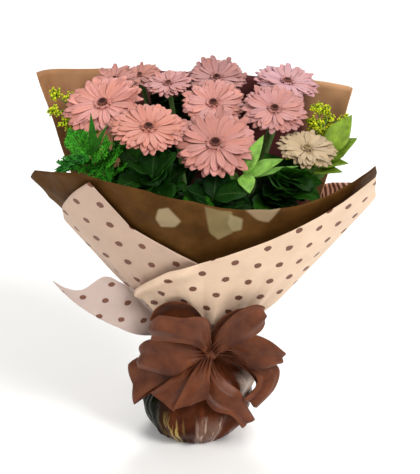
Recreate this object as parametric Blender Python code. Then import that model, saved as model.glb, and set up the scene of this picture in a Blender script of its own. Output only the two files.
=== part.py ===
# Mixed flower bouquet: gerberas and greenery in kraft and dotted paper, gathered at the neck, tied with a
# wide satin bow and standing on a foot of clear brown film.
# Metres, +Z up. The origin is the centre of the foot's flat underside, and the bow faces -Y.
import itertools
import math
import random

import bmesh
import bpy
from mathutils import Matrix, Vector
from mathutils.bvhtree import BVHTree

# Foot, neck and wrapping
FOOT_FLAT_RADIUS = 0.036
FOOT_RADIUS = 0.060
FOOT_PLEATS = 12
FILM_THICKNESS = 0.001
NECK_X = 0.010
NECK_BASE = 0.107
NECK_TOP = 0.128
NECK_RADIUS = 0.0226
NECK_PLEAT = 0.0006
FUNNEL_HEIGHT = 0.188
FUNNEL_RIGHT_REACH = 0.167
FUNNEL_LEFT_REACH = 0.161
FUNNEL_FRONT_REACH = 0.100
LAYER_STEP = 0.0017
LAYER_SPREAD = 0.0028
PAPER_THICKNESS = 0.0008
COLUMN_DEG = 7.5

# Stems
STEM_RADIUS = 0.0024
TWIG_RADIUS = 0.0016
STEM_FOOT = 0.020
SPIRAL_STEP = 0.0033
GOLDEN_ANGLE = math.radians(137.508)
HOLE_CLEARANCE = 0.0005
SEAT_GAP = 0.0003
TIE_BASE = 0.1275
TIE_WIDTH = 0.006
TIE_THICKNESS = 0.0012

# Ribbon
RIBBON_THICKNESS = 0.0008
BAND_THICKNESS = 0.001
KNOT = Vector((0.016, -0.0440, 0.119))
KNOT_HALF_WIDTH = 0.011
KNOT_HALF_HEIGHT = 0.010
MILLIMETRE = 0.001
BALL_REACH = 0.8506  # how far a 20-sided ball of radius 1 reaches along Y

# Blooms: centre of the petals' seat, the way the bloom faces, and the radius over its longest petals
BLOOMS = {
    "gerbera_1": ((-0.097, 0.000, 0.389), (-0.20, -0.42, 0.88), 0.0430),
    "gerbera_2": ((-0.047, -0.055, 0.380), (0.08, -0.38, 0.92), 0.0385),
    "gerbera_3": ((0.022, -0.055, 0.363), (0.00, -0.56, 0.83), 0.0435),
    "gerbera_4": ((0.020, 0.015, 0.385), (0.00, -0.46, 0.88), 0.0345),
    "gerbera_5": ((0.024, 0.077, 0.395), (0.00, -0.42, 0.90), 0.0330),
    "gerbera_6": ((-0.029, 0.053, 0.396), (-0.12, -0.25, 0.96), 0.0265),
    "gerbera_7": ((-0.062, 0.092, 0.394), (-0.20, -0.20, 0.95), 0.0250),
    "gerbera_8": ((0.085, -0.002, 0.384), (0.10, -0.50, 0.86), 0.0345),
    "gerbera_9": ((0.101, 0.058, 0.396), (0.15, -0.20, 0.96), 0.0360),
    "gerbera_10": ((0.118, -0.045, 0.354), (0.12, -0.30, 0.94), 0.0310),
    "gerbera_11": ((-0.088, 0.062, 0.398), (-0.20, -0.30, 0.93), 0.0250),
}
CREAM_BLOOM = "gerbera_10"
PETALS_IN_LAYER = 12
PETALS_IN_SMALL_LAYER = 10
SMALL_BLOOM = 0.030

# Greenery: stem tip, and the way the stem grows there
STEM_TIPS = {
    "fern_left": ((-0.110, -0.050, 0.348), (-0.40, -0.40, 0.82)),
    "filler_left": ((-0.136, 0.014, 0.384), (-0.30, 0.00, 0.95)),
    "filler_right": ((0.142, 0.014, 0.366), (0.40, 0.05, 0.91)),
    "leafy_stem_right": ((0.146, -0.018, 0.344), (0.60, -0.15, 0.79)),
    "dark_leaves_left": ((-0.044, -0.080, 0.334), (-0.20, -0.40, 0.89)),
    "dark_leaves_centre": ((0.020, -0.086, 0.316), (0.00, -0.42, 0.90)),
    "dark_leaves_right": ((0.096, -0.070, 0.330), (0.30, -0.35, 0.89)),
    "light_leaves": ((0.052, -0.072, 0.337), (0.15, -0.35, 0.92)),
    "dark_leaves_back": ((-0.030, 0.098, 0.356), (-0.10, 0.30, 0.94)),
}


def clear_scene():
    for obj in list(bpy.data.objects):
        bpy.data.objects.remove(obj, do_unlink=True)


def paint(name, rgb, roughness, metallic=0.0):
    mat = bpy.data.materials.new(name)
    mat.use_nodes = True
    shader = mat.node_tree.nodes["Principled BSDF"]
    shader.inputs["Base Color"].default_value = (*rgb, 1.0)
    shader.inputs["Roughness"].default_value = roughness
    shader.inputs["Metallic"].default_value = metallic
    mat.diffuse_color = (*rgb, 1.0)
    return mat


def add_object(name, bm, mat, smooth_angle=0.6, place=None):
    bmesh.ops.recalc_face_normals(bm, faces=bm.faces)
    mesh = bpy.data.meshes.new(name)
    bm.to_mesh(mesh)
    bm.free()
    mesh.materials.append(mat)
    mesh.shade_smooth()
    mesh.set_sharp_from_angle(angle=smooth_angle)
    obj = bpy.data.objects.new(name, mesh)
    if place:
        obj.matrix_world = place
    bpy.context.scene.collection.objects.link(obj)
    return obj


def combine(obj, helpers, operation):
    """Joins the helper objects to obj, or cuts them from it, with one Boolean on their collection."""
    tools = bpy.data.collections.new(obj.name + "_tools")
    bpy.context.scene.collection.children.link(tools)
    for helper in helpers:
        bpy.context.scene.collection.objects.unlink(helper)
        tools.objects.link(helper)
    boolean = obj.modifiers.new("combine", "BOOLEAN")
    boolean.operation = operation
    boolean.operand_type = "COLLECTION"
    boolean.collection = tools
    boolean.solver = "EXACT"
    depsgraph = bpy.context.evaluated_depsgraph_get()
    mesh = bpy.data.meshes.new_from_object(obj.evaluated_get(depsgraph))
    obj.modifiers.remove(boolean)
    obj.data = mesh
    for helper in helpers:
        bpy.data.objects.remove(helper, do_unlink=True)
    bpy.data.collections.remove(tools)
    drop_scraps(obj)
    return obj


def drop_scraps(obj):
    """Keeps the largest connected body of a mesh."""
    bm = bmesh.new()
    bm.from_mesh(obj.data)
    bodies = []
    seen = set()
    for start in bm.verts:
        if start in seen:
            continue
        body = [start]
        seen.add(start)
        for vert in body:
            for edge in vert.link_edges:
                other = edge.other_vert(vert)
                if other not in seen:
                    seen.add(other)
                    body.append(other)
        bodies.append(body)
    bodies.sort(key=len, reverse=True)
    for body in bodies[1:]:
        bmesh.ops.delete(bm, geom=body, context="VERTS")
    bm.to_mesh(obj.data)
    bm.free()


def frames(points, hint):
    """A side and an up vector for each point of a path, carried along it without twist."""
    side = Vector(hint)
    result = []
    for i, _ in enumerate(points):
        ahead = points[min(i + 1, len(points) - 1)]
        behind = points[max(i - 1, 0)]
        along = (ahead - behind).normalized()
        side = (side - along * side.dot(along)).normalized()
        result.append((side, along.cross(side)))
    return result


def tube(points, radii, sides, hint=(1, 0, 0)):
    """A closed tube along a path."""
    bm = bmesh.new()
    rings = []
    for point, radius, (side, up) in zip(points, radii, frames(points, hint)):
        ring = []
        for k in range(sides):
            angle = math.tau * k / sides
            ring.append(bm.verts.new(point + (side * math.cos(angle) + up * math.sin(angle)) * radius))
        rings.append(ring)
    for low, high in zip(rings, rings[1:]):
        for k in range(sides):
            nxt = (k + 1) % sides
            bm.faces.new((low[k], low[nxt], high[nxt], high[k]))
    bm.faces.new(rings[0][::-1])
    bm.faces.new(rings[-1])
    return bm


def bezier(p0, p1, p2, p3, count):
    path = []
    for i in range(count + 1):
        t = i / count
        u = 1 - t
        path.append(p0 * u**3 + p1 * (3 * u * u * t) + p2 * (3 * u * t * t) + p3 * t**3)
    return path


def lathe(profile, sides, pleats=0):
    """A turned body from (radius, height, pleat depth, centre x) rows, first and last row on the axis."""
    bm = bmesh.new()
    rows = []
    for radius, height, depth, centre in profile:
        if radius == 0:
            rows.append([bm.verts.new((centre, 0, height))])
            continue
        ring = []
        for k in range(sides):
            angle = math.tau * k / sides
            r = radius * (1 + depth * math.cos(pleats * angle))
            ring.append(bm.verts.new((centre + r * math.cos(angle), r * math.sin(angle), height)))
        rows.append(ring)
    for low, high in zip(rows, rows[1:]):
        for k in range(sides):
            nxt = (k + 1) % sides
            if len(low) == 1:
                bm.faces.new((low[0], high[nxt], high[k]))
            elif len(high) == 1:
                bm.faces.new((low[k], low[nxt], high[0]))
            else:
                bm.faces.new((low[k], low[nxt], high[nxt]))
                bm.faces.new((low[k], high[nxt], high[k]))
    return bm


def hoop(inner, thickness, base, top, sides):
    """A flat band round the neck's axis."""
    bm = bmesh.new()
    rows = []
    for radius, height in ((inner, base), (inner + thickness, base), (inner + thickness, top), (inner, top)):
        ring = []
        for k in range(sides):
            angle = math.tau * k / sides
            ring.append(bm.verts.new((NECK_X + radius * math.cos(angle), radius * math.sin(angle), height)))
        rows.append(ring)
    for low, high in zip(rows, rows[1:] + rows[:1]):
        for k in range(sides):
            nxt = (k + 1) % sides
            bm.faces.new((low[k], low[nxt], high[nxt], high[k]))
    return bm


def thick_sheet(grid, thickness):
    """A closed thin solid round a grid of points, split into the same triangles on both faces."""
    rows = len(grid)
    cols = len(grid[0])
    bm = bmesh.new()
    front = []
    back = []
    for i in range(rows):
        front.append([])
        back.append([])
        for j in range(cols):
            du = grid[min(i + 1, rows - 1)][j] - grid[max(i - 1, 0)][j]
            dv = grid[i][min(j + 1, cols - 1)] - grid[i][max(j - 1, 0)]
            normal = du.cross(dv).normalized() * thickness / 2
            front[i].append(bm.verts.new(grid[i][j] + normal))
            back[i].append(bm.verts.new(grid[i][j] - normal))
    for i in range(rows - 1):
        for j in range(cols - 1):
            for face, order in ((front, 1), (back, -1)):
                a, b = face[i][j], face[i + 1][j]
                c, d = face[i + 1][j + 1], face[i][j + 1]
                bm.faces.new((a, b, c)[::order])
                bm.faces.new((a, c, d)[::order])
    rim = [(i, 0) for i in range(rows)]
    rim += [(rows - 1, j) for j in range(1, cols)]
    rim += [(i, cols - 1) for i in range(rows - 2, -1, -1)]
    rim += [(0, j) for j in range(cols - 2, 0, -1)]
    for (i, j), (k, m) in zip(rim, rim[1:] + rim[:1]):
        bm.faces.new((front[i][j], front[k][m], back[k][m]))
        bm.faces.new((front[i][j], back[k][m], back[i][j]))
    return bm


def interpolate(table, x):
    """Straight-line reading of a short table of (x, y) pairs."""
    if x <= table[0][0]:
        return table[0][1]
    for (x0, y0), (x1, y1) in zip(table, table[1:]):
        if x <= x1:
            return y0 + (y1 - y0) * (x - x0) / (x1 - x0)
    return table[-1][1]


def smoothstep(x):
    x = min(max(x, 0.0), 1.0)
    return x * x * (3 - 2 * x)


# Paper wrapping. Every sheet lies on one funnel: an ellipse that opens upwards from the round neck, with
# pleats that fade out above it. Angles run from the front (-Y), positive towards +X.
COLLAR_LIP = ((-120, 0.196), (-97.5, 0.251), (-75, 0.308), (-60, 0.336), (-37.5, 0.349), (-22.5, 0.345),
              (0, 0.323), (15, 0.314), (30, 0.312), (45, 0.320), (60, 0.344), (75, 0.308), (90, 0.292),
              (105, 0.290), (120, 0.282), (135, 0.268))
LEFT_LIP = ((-135, 0.156), (-97.5, 0.216), (-60, 0.284), (-30, 0.343), (-22.5, 0.290), (-15, 0.273),
            (0, 0.246), (15, 0.218), (37.5, 0.156))
RIGHT_LIP = ((-45, 0.196), (-30, 0.216), (-15, 0.237), (0, 0.252), (15, 0.268), (30, 0.287), (45, 0.314),
             (52.5, 0.338), (60, 0.318), (90, 0.256), (127.5, 0.166))


def opening(rise, power):
    """How far the funnel has opened, from 0 at the neck to 1 at the collar's height."""
    start = 0.05
    full = (1 + start) ** power - start**power
    return ((max(rise, 0.0) + start) ** power - start**power) / full


def funnel_point(angle_deg, height, layer, lean=0.0):
    """A point of the wrapping, layer steps outside the collar's own surface. Neighbouring columns stand in
    and out by turns near the neck, which makes the gathered pleats."""
    rise = (height - NECK_TOP) / FUNNEL_HEIGHT
    angle = math.radians(angle_deg + lean)
    turn = 1 if round(angle_deg / COLUMN_DEG) % 2 else -1
    pleat = turn * (NECK_PLEAT + 0.0022 * smoothstep(rise * 4) * (1 - smoothstep(rise * 1.4)))
    gap = layer * (LAYER_STEP + LAYER_SPREAD * smoothstep(rise * 6))
    side_reach = FUNNEL_LEFT_REACH + (FUNNEL_RIGHT_REACH - FUNNEL_LEFT_REACH) * (1 + math.sin(angle)) / 2
    across = NECK_RADIUS + side_reach * opening(rise, 0.8) + gap + pleat
    deep = NECK_RADIUS + FUNNEL_FRONT_REACH * opening(rise, 0.75) + gap + pleat
    return Vector((NECK_X + across * math.sin(angle), -deep * math.cos(angle), height))


def row_heights(top, rows):
    """The neck's own height, then rows that stand closer together just above it."""
    heights = [NECK_BASE, NECK_TOP]
    return heights + [NECK_TOP + (top - NECK_TOP) * (i / rows) ** 1.5 for i in range(1, rows + 1)]


def funnel_sheet(first, last, lip, layer, rows, lean, shape):
    grid = []
    for k in range(round(first / COLUMN_DEG), round(last / COLUMN_DEG) + 1):
        angle = k * COLUMN_DEG
        top = interpolate(lip, angle)
        column = []
        for height in row_heights(top, rows):
            t = (height - NECK_BASE) / (top - NECK_BASE)
            point = funnel_point(angle, height, layer, lean * t)
            column.append(point + shape(angle, t, point))
        grid.append(column)
    return thick_sheet(grid, PAPER_THICKNESS)


def outward(point):
    return Vector((point.x - NECK_X, point.y, 0)).normalized()


def crumple(angle, t, point):
    """The collar's creases, shallow under the dotted papers and deeper where it is free above them."""
    cover = max(interpolate(LEFT_LIP, angle) if angle < 33 else 0.0,
                interpolate(RIGHT_LIP, angle) if angle > -40 else 0.0)
    free = smoothstep((point.z - cover - 0.004) / 0.03)
    wave = math.sin(math.radians(angle) * 13 + 9 * t) + 0.6 * math.sin(math.radians(angle) * 23 - 14 * t)
    return outward(point) * wave * (0.0005 + 0.0024 * free) * smoothstep(t * 3)


def lip_curl(angle, t, point):
    """The dotted papers spring out a little along their upper edges."""
    return outward(point) * 0.004 * max(t - 0.6, 0.0)


def make_sheets():
    kraft = paint("kraft_paper", (0.30, 0.14, 0.055), 0.55)
    glossy = paint("kraft_collar", (0.10, 0.035, 0.010), 0.35)
    dotted = paint("dotted_paper", (0.76, 0.51, 0.42), 0.6)
    add_object("kraft_collar", funnel_sheet(-120, 135, COLLAR_LIP, 0, 5, -2, crumple), glossy)
    add_object("dotted_paper_left", funnel_sheet(-135, 37.5, LEFT_LIP, 1, 3, -3, lip_curl), dotted)
    add_object("dotted_paper_right", funnel_sheet(-45, 127.5, RIGHT_LIP, 3, 3, 0, lip_curl), dotted)
    add_object("dotted_paper_tail", tail_sheet(), dotted)
    add_object("kraft_back", back_sheet(), kraft)


def tail_sheet():
    """The third dotted paper: tucked in at the neck, its free corner stands out at the lower left."""
    under = 2
    columns = []
    tucked = ((0, 0, 0.156), (-7.5, 0, 0.164), (-15, 0, 0.172), (-22.5, 0, 0.180), (-30, 0, 0.188),
              (-37.5, 0.006, 0.193), (-45, 0.014, 0.195), (-52.5, 0.020, 0.196))
    for angle, base, top in tucked:
        heights = row_heights(top, 3)
        heights[0] += base
        columns.append([funnel_point(angle, height, under) for height in heights])
    edges = (
        ((-0.058, -0.046, 0.139), (-0.080, -0.052, 0.205)),
        ((-0.086, -0.053, 0.153), (-0.097, -0.058, 0.214)),
        ((-0.108, -0.057, 0.167), (-0.120, -0.061, 0.200)),
        ((-0.131, -0.060, 0.186), (-0.137, -0.062, 0.202)),
        ((-0.150, -0.060, 0.207), (-0.152, -0.060, 0.210)),
    )
    for low, high in edges:
        columns.append([Vector(low).lerp(Vector(high), i / 4) for i in range(5)])
    return thick_sheet(columns, PAPER_THICKNESS)


def back_sheet():
    """The tall sheet behind the blooms: it lies inside the collar low down, and its upper part spreads
    like a fan and stands a little flatter."""
    grid = []
    first, last = 12, 36
    for k in range(first, last + 1):
        s = (k - first) / (last - first)
        angle = math.radians(k * COLUMN_DEG)
        top = 0.389 + 0.018 * smoothstep(s * 1.4 - 0.4) - 0.006 * math.sin(math.pi * s)
        column = []
        for height in row_heights(top, 5):
            rise = max(height - NECK_TOP, 0.0) / (top - NECK_TOP)
            low = funnel_point(k * COLUMN_DEG, height, -1)
            wide = NECK_RADIUS + 0.150 * math.sqrt(rise)
            deep = NECK_RADIUS + 0.050 * rise**0.75 + 0.0016 * math.sin(9 * angle)
            high = Vector((NECK_X * (1 - rise) + wide * math.sin(angle),
                           0.056 * rise - deep * math.cos(angle), height))
            column.append(low.lerp(high, smoothstep((height - 0.190) / 0.07)))
        grid.append(column)
    return thick_sheet(grid, PAPER_THICKNESS)


# Foot: the film, the wet pack in it and the tie on the stems
def neck_shift(height):
    return NECK_X * smoothstep(height / 0.090)


def make_foot(slots):
    """The gathered film with the wet pack in it, a hole in the pack for each stem, and the stems' tie."""
    film = paint("film", (0.060, 0.018, 0.006), 0.18)
    sponge = paint("sponge", (0.050, 0.140, 0.050), 0.9)
    tie = paint("stem_tie", (0.55, 0.45, 0.25), 0.7)
    flat, wide, neck = FOOT_FLAT_RADIUS, FOOT_RADIUS, 0.0188
    skin = FILM_THICKNESS
    outer = ((flat, 0.0, 0), (flat + 0.007, 0.003, 0.02), (wide - 0.003, 0.021, 0.045), (wide, 0.042, 0.05),
             (wide - 0.007, 0.066, 0.05), (wide - 0.024, 0.088, 0.06), (neck, 0.103, 0.02),
             (neck, 0.117, 0.02))
    inner = ((neck - skin, 0.117, 0.02), (neck - skin, 0.1035, 0.02), (wide - 0.0255, 0.0875, 0.06),
             (wide - 0.0085, 0.0655, 0.05), (wide - 0.0013, 0.042, 0.05), (wide - 0.0043, 0.0215, 0.045),
             (flat + 0.0055, 0.0042, 0.02), (flat - 0.001, 0.0012, 0))
    rows = [(0, 0, 0, 0)]
    rows += [(radius, height, depth, neck_shift(height)) for radius, height, depth in outer + inner]
    rows.append((0, 0.0012, 0, 0))
    add_object("foot_film", lathe(rows, 2 * FOOT_PLEATS, FOOT_PLEATS), film)
    pack_rows = [(0, 0.0015, 0, 0.003), (0.031, 0.0015, 0, 0.003), (0.038, 0.010, 0, 0.003),
                 (0.038, 0.050, 0, 0.005), (0.032, 0.058, 0, 0.005), (0, 0.058, 0, 0.005)]
    pack = add_object("water_pack", lathe(pack_rows, 24), sponge)
    holes = []
    for slot, radius in slots:
        low = Vector((slot.x, slot.y, STEM_FOOT - 0.002))
        high = Vector((slot.x, slot.y, 0.070))
        wide_hole = radius + HOLE_CLEARANCE
        holes.append(add_object("hole", tube([low, high], [wide_hole, wide_hole], 4), sponge))
    combine(pack, holes, "DIFFERENCE")
    reach = max((slot - Vector((NECK_X, 0))).length + radius for slot, radius in slots)
    add_object("stem_tie", hoop(reach + SEAT_GAP, TIE_THICKNESS, TIE_BASE, TIE_BASE + TIE_WIDTH, 16), tie)


# Ribbon: the band round the neck and the bow knotted to its front
# Runs of ribbon out from the knot and, in the six loops, back to it, folded flat as they lie in the
# bow, placed by eye over the photo: the two edges of each section, in millimetres
STRIPS = (
    # upper left loop
    (((18, -50, 123), (14, -50, 115)), ((14, -85, 176), (4, -72, 136)),
     ((-14, -98, 184), (-9, -84, 147)), ((-36, -96, 186), (-36, -83, 150)),
     ((-47, -86, 175), (-47, -78, 150)), ((-41, -76, 185), (-38, -68, 151)),
     ((-23, -84, 197), (-18, -70, 160)), ((-2, -82, 190), (0, -62, 153)),
     ((13, -66, 160), (10, -48, 128)), ((18, -40, 123), (14, -40, 115))),
    # upper right loop
    (((14, -50, 123), (18, -50, 115)), ((29, -76, 164), (39, -62, 132)),
     ((46, -93, 189), (60, -77, 150)), ((64, -95, 198), (72, -81, 162)),
     ((75, -86, 191), (75, -80, 171)), ((67, -70, 184), (67, -60, 154)),
     ((44, -78, 184), (47, -56, 145)), ((23, -71, 165), (26, -48, 130)),
     ((14, -42, 123), (18, -42, 115))),
    # middle left loop
    (((18, -48, 123), (14, -48, 115)), ((-1, -60, 136), (-5, -62, 109)),
     ((-29, -66, 145), (-23, -64, 98)), ((-51, -62, 141), (-47, -60, 102)),
     ((-61, -52, 128), (-63, -52, 103)), ((-50, -40, 125), (-52, -44, 100)),
     ((-19, -40, 123), (-19, -44, 105)), ((18, -40, 123), (14, -40, 115))),
    # middle right loop
    (((14, -52, 123), (18, -52, 115)), ((38, -52, 138), (38, -46, 120)),
     ((60, -62, 148), (59, -52, 103)), ((80, -62, 141), (78, -57, 104)),
     ((96, -58, 126), (92, -54, 108)), ((98, -50, 119), (94, -46, 104)),
     ((78, -42, 121), (74, -40, 101)), ((48, -37, 123), (48, -37, 109)),
     ((14, -42, 123), (18, -42, 115))),
    # low left loop
    (((18, -45, 123), (14, -45, 115)), ((-12, -38, 114), (-10, -44, 100)),
     ((-39, -32, 112), (-32, -44, 83)), ((-64, -30, 104), (-53, -38, 65)),
     ((-75, -28, 93), (-69, -34, 47)), ((-62, -18, 87), (-58, -24, 50)),
     ((-36, -22, 97), (-33, -34, 75)), ((-9, -33, 110), (-9, -36, 100)),
     ((18, -40, 123), (14, -40, 115))),
    # low right loop
    (((14, -46, 123), (18, -46, 115)), ((45, -35, 118), (42, -38, 107)),
     ((74, -38, 107), (61, -42, 94)), ((93, -40, 96), (69, -47, 84)), ((89, -42, 72), (64, -51, 73)),
     ((70, -48, 52), (54, -57, 66)), ((71, -41, 50), (55, -49, 63)), ((77, -35, 57), (62, -41, 66)),
     ((83, -31, 71), (68, -36, 74)), ((68, -30, 94), (58, -33, 88)), ((43, -31, 109), (40, -33, 101)),
     ((14, -39, 123), (18, -39, 115))),
    # centre tail
    (((12, -50, 118), (20, -50, 118)), ((2, -61, 109), (18, -58, 110)), ((-12, -72, 88), (16, -66, 89)),
     ((-25, -77, 62), (15, -70, 73))),
    # second tail
    (((12, -48, 120), (18, -48, 118)), ((-10, -52, 107), (4, -56, 103)),
     ((-33, -56, 85), (-10, -67, 81)), ((-50, -57, 74), (-23, -72, 58))),
    # right tail
    (((19, -44, 120), (14, -44, 116)), ((21, -44, 100), (10, -50, 93)), ((35, -52, 86), (10, -62, 72)),
     ((50, -55, 74), (21, -69, 58)), ((56, -53, 58), (40, -66, 50)), ((67, -47, 35), (52, -60, 31))),
)


def bow_strip(sections):
    """One run of ribbon, folded flat through its sections."""
    return thick_sheet([[Vector(edge) * MILLIMETRE for edge in section] for section in sections],
                       RIBBON_THICKNESS)


def make_ribbon():
    satin = paint("satin_ribbon", (0.155, 0.062, 0.040), 0.38)
    inner = NECK_RADIUS + 3 * LAYER_STEP + NECK_PLEAT + PAPER_THICKNESS / 2 + SEAT_GAP
    add_object("ribbon_band", hoop(inner, BAND_THICKNESS, NECK_BASE + 0.001, NECK_TOP - 0.002, 24), satin)
    knot = bmesh.new()
    bmesh.ops.create_icosphere(knot, subdivisions=1, radius=1)
    back = -(inner + BAND_THICKNESS + SEAT_GAP)
    half = (KNOT_HALF_WIDTH, (back - KNOT.y) / BALL_REACH, KNOT_HALF_HEIGHT)
    bmesh.ops.transform(knot, verts=knot.verts, matrix=Matrix.Translation(KNOT) @ Matrix.Diagonal((*half, 1)))
    bow = add_object("ribbon_bow", knot, satin)
    parts = [add_object("run", bow_strip(sections), satin) for sections in STRIPS]
    combine(bow, parts, "UNION")


# Blooms
def facing_frame(centre, facing):
    """A bloom's own frame, with its +Z along the way it faces."""
    up = Vector(facing).normalized()
    side = Vector((1, 0, 0))
    side = (side - up * side.dot(up)).normalized()
    frame = Matrix((side, up.cross(side), up)).transposed().to_4x4()
    frame.translation = Vector(centre)
    return frame


def petal_rosette(radius, seed):
    """Two layers of petals as one closed body, in the bloom's own frame: seat at the origin, facing +Z."""
    rng = random.Random(seed)
    count = PETALS_IN_LAYER if radius > SMALL_BLOOM else PETALS_IN_SMALL_LAYER
    pitch = math.tau / count
    bm = bmesh.new()

    def ring(share, height):
        return [bm.verts.new((radius * share * math.cos(pitch * k), radius * share * math.sin(pitch * k),
                              radius * height)) for k in range(count)]

    def rim(length, valley, height, droop, shift):
        """Rim points of one layer, four a petal: valley, shoulder, tip, shoulder, on its two faces."""
        upper = []
        lower = []
        for k in range(count):
            reach = length * (1 + rng.uniform(-0.07, 0.05))
            lift = rng.uniform(-0.03, 0.03)
            for turn, share, rise in ((-0.5, valley, height * 0.45), (-0.34, 0.88 * reach, height + droop),
                                      (0.0, reach, height), (0.34, 0.88 * reach, height + droop)):
                angle = pitch * (k + shift + turn)
                level = radius * (rise + (lift if turn != -0.5 else 0))
                x = radius * share * math.cos(angle)
                y = radius * share * math.sin(angle)
                upper.append(bm.verts.new((x, y, level)))
                lower.append(bm.verts.new((x, y, level - 0.0009)))
        return upper, lower

    def surface(inner, outer, shift):
        """Five triangles a petal between the inner ring and a layer's rim."""
        for k in range(count):
            v0, left, tip, right = outer[4 * k:4 * k + 4]
            v1 = outer[(4 * k + 4) % len(outer)]
            a = inner[k]
            b = inner[(k + 1) % count]
            if shift:
                faces = ((a, v0, left), (a, left, tip), (a, tip, b), (b, tip, right), (b, right, v1))
            else:
                faces = ((a, v0, left), (a, left, tip), (a, tip, right), (a, right, v1), (a, v1, b))
            for face in faces:
                bm.faces.new(face)

    def edge(upper, lower):
        for k in range(len(upper)):
            nxt = (k + 1) % len(upper)
            bm.faces.new((upper[k], lower[k], lower[nxt]))
            bm.faces.new((upper[k], lower[nxt], upper[nxt]))

    seat = ring(0.20, 0.0)
    top_rim = rim(0.84, 0.50, 0.13, -0.020, 0.0)
    waist = ring(0.22, -0.075)
    low_rim = rim(1.00, 0.58, 0.015, -0.025, 0.5)
    base = ring(0.16, -0.14)
    bm.faces.new(seat)
    surface(seat, top_rim[0], False)
    edge(*top_rim)
    surface(waist, top_rim[1], False)
    surface(waist, low_rim[0], True)
    edge(*low_rim)
    surface(base, low_rim[1], True)
    bm.faces.new(base[::-1])
    return bm


def eye_dome(radius):
    """The disc of florets: a low dome with a raised ring of florets round a sunken middle."""
    profile = ((0, SEAT_GAP, 0, 0), (0.145 * radius, SEAT_GAP, 0, 0),
               (0.175 * radius, 0.05 * radius, 0.09, 0), (0.12 * radius, 0.105 * radius, 0.06, 0),
               (0.05 * radius, 0.085 * radius, 0, 0), (0, 0.08 * radius, 0, 0))
    return lathe(profile, 8, 4)


def stem_path(slot, tip, growth, reach):
    """A stem: straight up from its cut end to the neck, then a bend out to its tip."""
    low = Vector((slot.x, slot.y, STEM_FOOT))
    bend = Vector((slot.x, slot.y, NECK_TOP + 0.007))
    growth = Vector(growth).normalized()
    return [low] + bezier(bend, bend + Vector((0, 0, reach)), tip - growth * reach, tip, 6)


def make_blooms(slots):
    pink = paint("petals_pink", (0.62, 0.29, 0.25), 0.6)
    cream = paint("petals_cream", (0.60, 0.44, 0.28), 0.6)
    eye = paint("eye", (0.09, 0.012, 0.006), 0.8)
    green = paint("stem_green", (0.10, 0.20, 0.04), 0.6)
    for number, (name, (centre, facing, radius)) in enumerate(BLOOMS.items()):
        place = facing_frame(centre, facing)
        petals = cream if name == CREAM_BLOOM else pink
        add_object(name + "_petals", petal_rosette(radius, number), petals, 0.9, place)
        add_object(name + "_eye", eye_dome(radius), eye, 0.9, place)
        up = Vector(facing).normalized()
        top = Vector(centre) - up * (0.14 * radius + SEAT_GAP)
        path = stem_path(slots[name], top - up * 0.014, facing, 0.040)
        path += [top - up * 0.006, top]
        radii = [STEM_RADIUS] * (len(path) - 3) + [STEM_RADIUS * 1.2, 0.15 * radius, 0.17 * radius]
        add_object(name + "_stem", tube(path, radii, 4), green)


# Greenery
class Thicket:
    """The surfaces that new leaves have to stay clear of."""

    def __init__(self):
        self.trees = {}

    def add(self, obj):
        verts = [obj.matrix_world @ v.co for v in obj.data.vertices]
        faces = [tuple(p.vertices) for p in obj.data.polygons]
        self.trees[obj.name] = BVHTree.FromPolygons(verts, faces)

    def is_clear(self, bm, own):
        bm.verts.index_update()
        tree = BVHTree.FromBMesh(bm)
        return not any(tree.overlap(other) for name, other in self.trees.items() if name != own)


PLAIN_LEAF = ((0.0, 0.06), (0.32, 0.86), (0.66, 0.72), (1.0, 0.0))
ROUND_LEAF = ((0.0, 0.06), (0.30, 0.90), (0.68, 0.95), (1.0, 0.0))
CUT_FROND = ((0.0, 0.08), (0.24, 0.90), (0.36, 0.34), (0.60, 1.0), (0.72, 0.32), (1.0, 0.0))


def blade(root, along, up, length, half, outline, arch, fold, thickness=0.0008):
    """A leaf with a folded midrib, arched along its length, as one thin closed solid."""
    along = along.normalized()
    up = (up - along * up.dot(along)).normalized()
    side = along.cross(up)
    bm = bmesh.new()
    rows = []
    for share, width in outline:
        spine = root + along * length * share - up * arch * length * share * share
        w = half * width
        points = [spine] if width == 0 else [spine - side * w, spine, spine + side * w]
        rows.append([])
        for k, point in enumerate(points):
            lift = up * (fold * w if len(points) == 3 and k != 1 else 0.0)
            rows[-1].append((bm.verts.new(point + lift + up * thickness / 2),
                             bm.verts.new(point + lift - up * thickness / 2)))
    for low, high in zip(rows, rows[1:]):
        for k in (0, 1):
            if len(high) == 1:
                cells = ((low[k], low[k + 1], high[0]),)
            else:
                cells = ((low[k], low[k + 1], high[k + 1]), (low[k], high[k + 1], high[k]))
            for cell in cells:
                bm.faces.new([pair[0] for pair in cell])
                bm.faces.new([pair[1] for pair in cell][::-1])
    rim = [row[0] for row in rows] + [row[2] for row in rows[-2::-1]] + [rows[0][1]]
    for a, b in zip(rim, rim[1:] + rim[:1]):
        bm.faces.new((a[0], b[0], b[1]))
        bm.faces.new((a[0], b[1], a[1]))
    return bm


def point_on(path, share):
    position = share * (len(path) - 1)
    i = min(int(position), len(path) - 2)
    return path[i].lerp(path[i + 1], position - i)


def leaf_place(path, share, turn, rise):
    """A point on a stem, and the way a leaf grows from it: turn about the stem, rise along it."""
    root = point_on(path, share)
    i = min(int(share * (len(path) - 1)), len(path) - 2)
    stem = (path[i + 1] - path[i]).normalized()
    side = Vector((1, 0, 0))
    side = (side - stem * side.dot(stem)).normalized()
    across = side * math.cos(turn) + stem.cross(side) * math.sin(turn)
    along = across * math.cos(rise) + stem * math.sin(rise)
    up = stem * math.cos(rise) - across * math.sin(rise)
    return root, along, up


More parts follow.
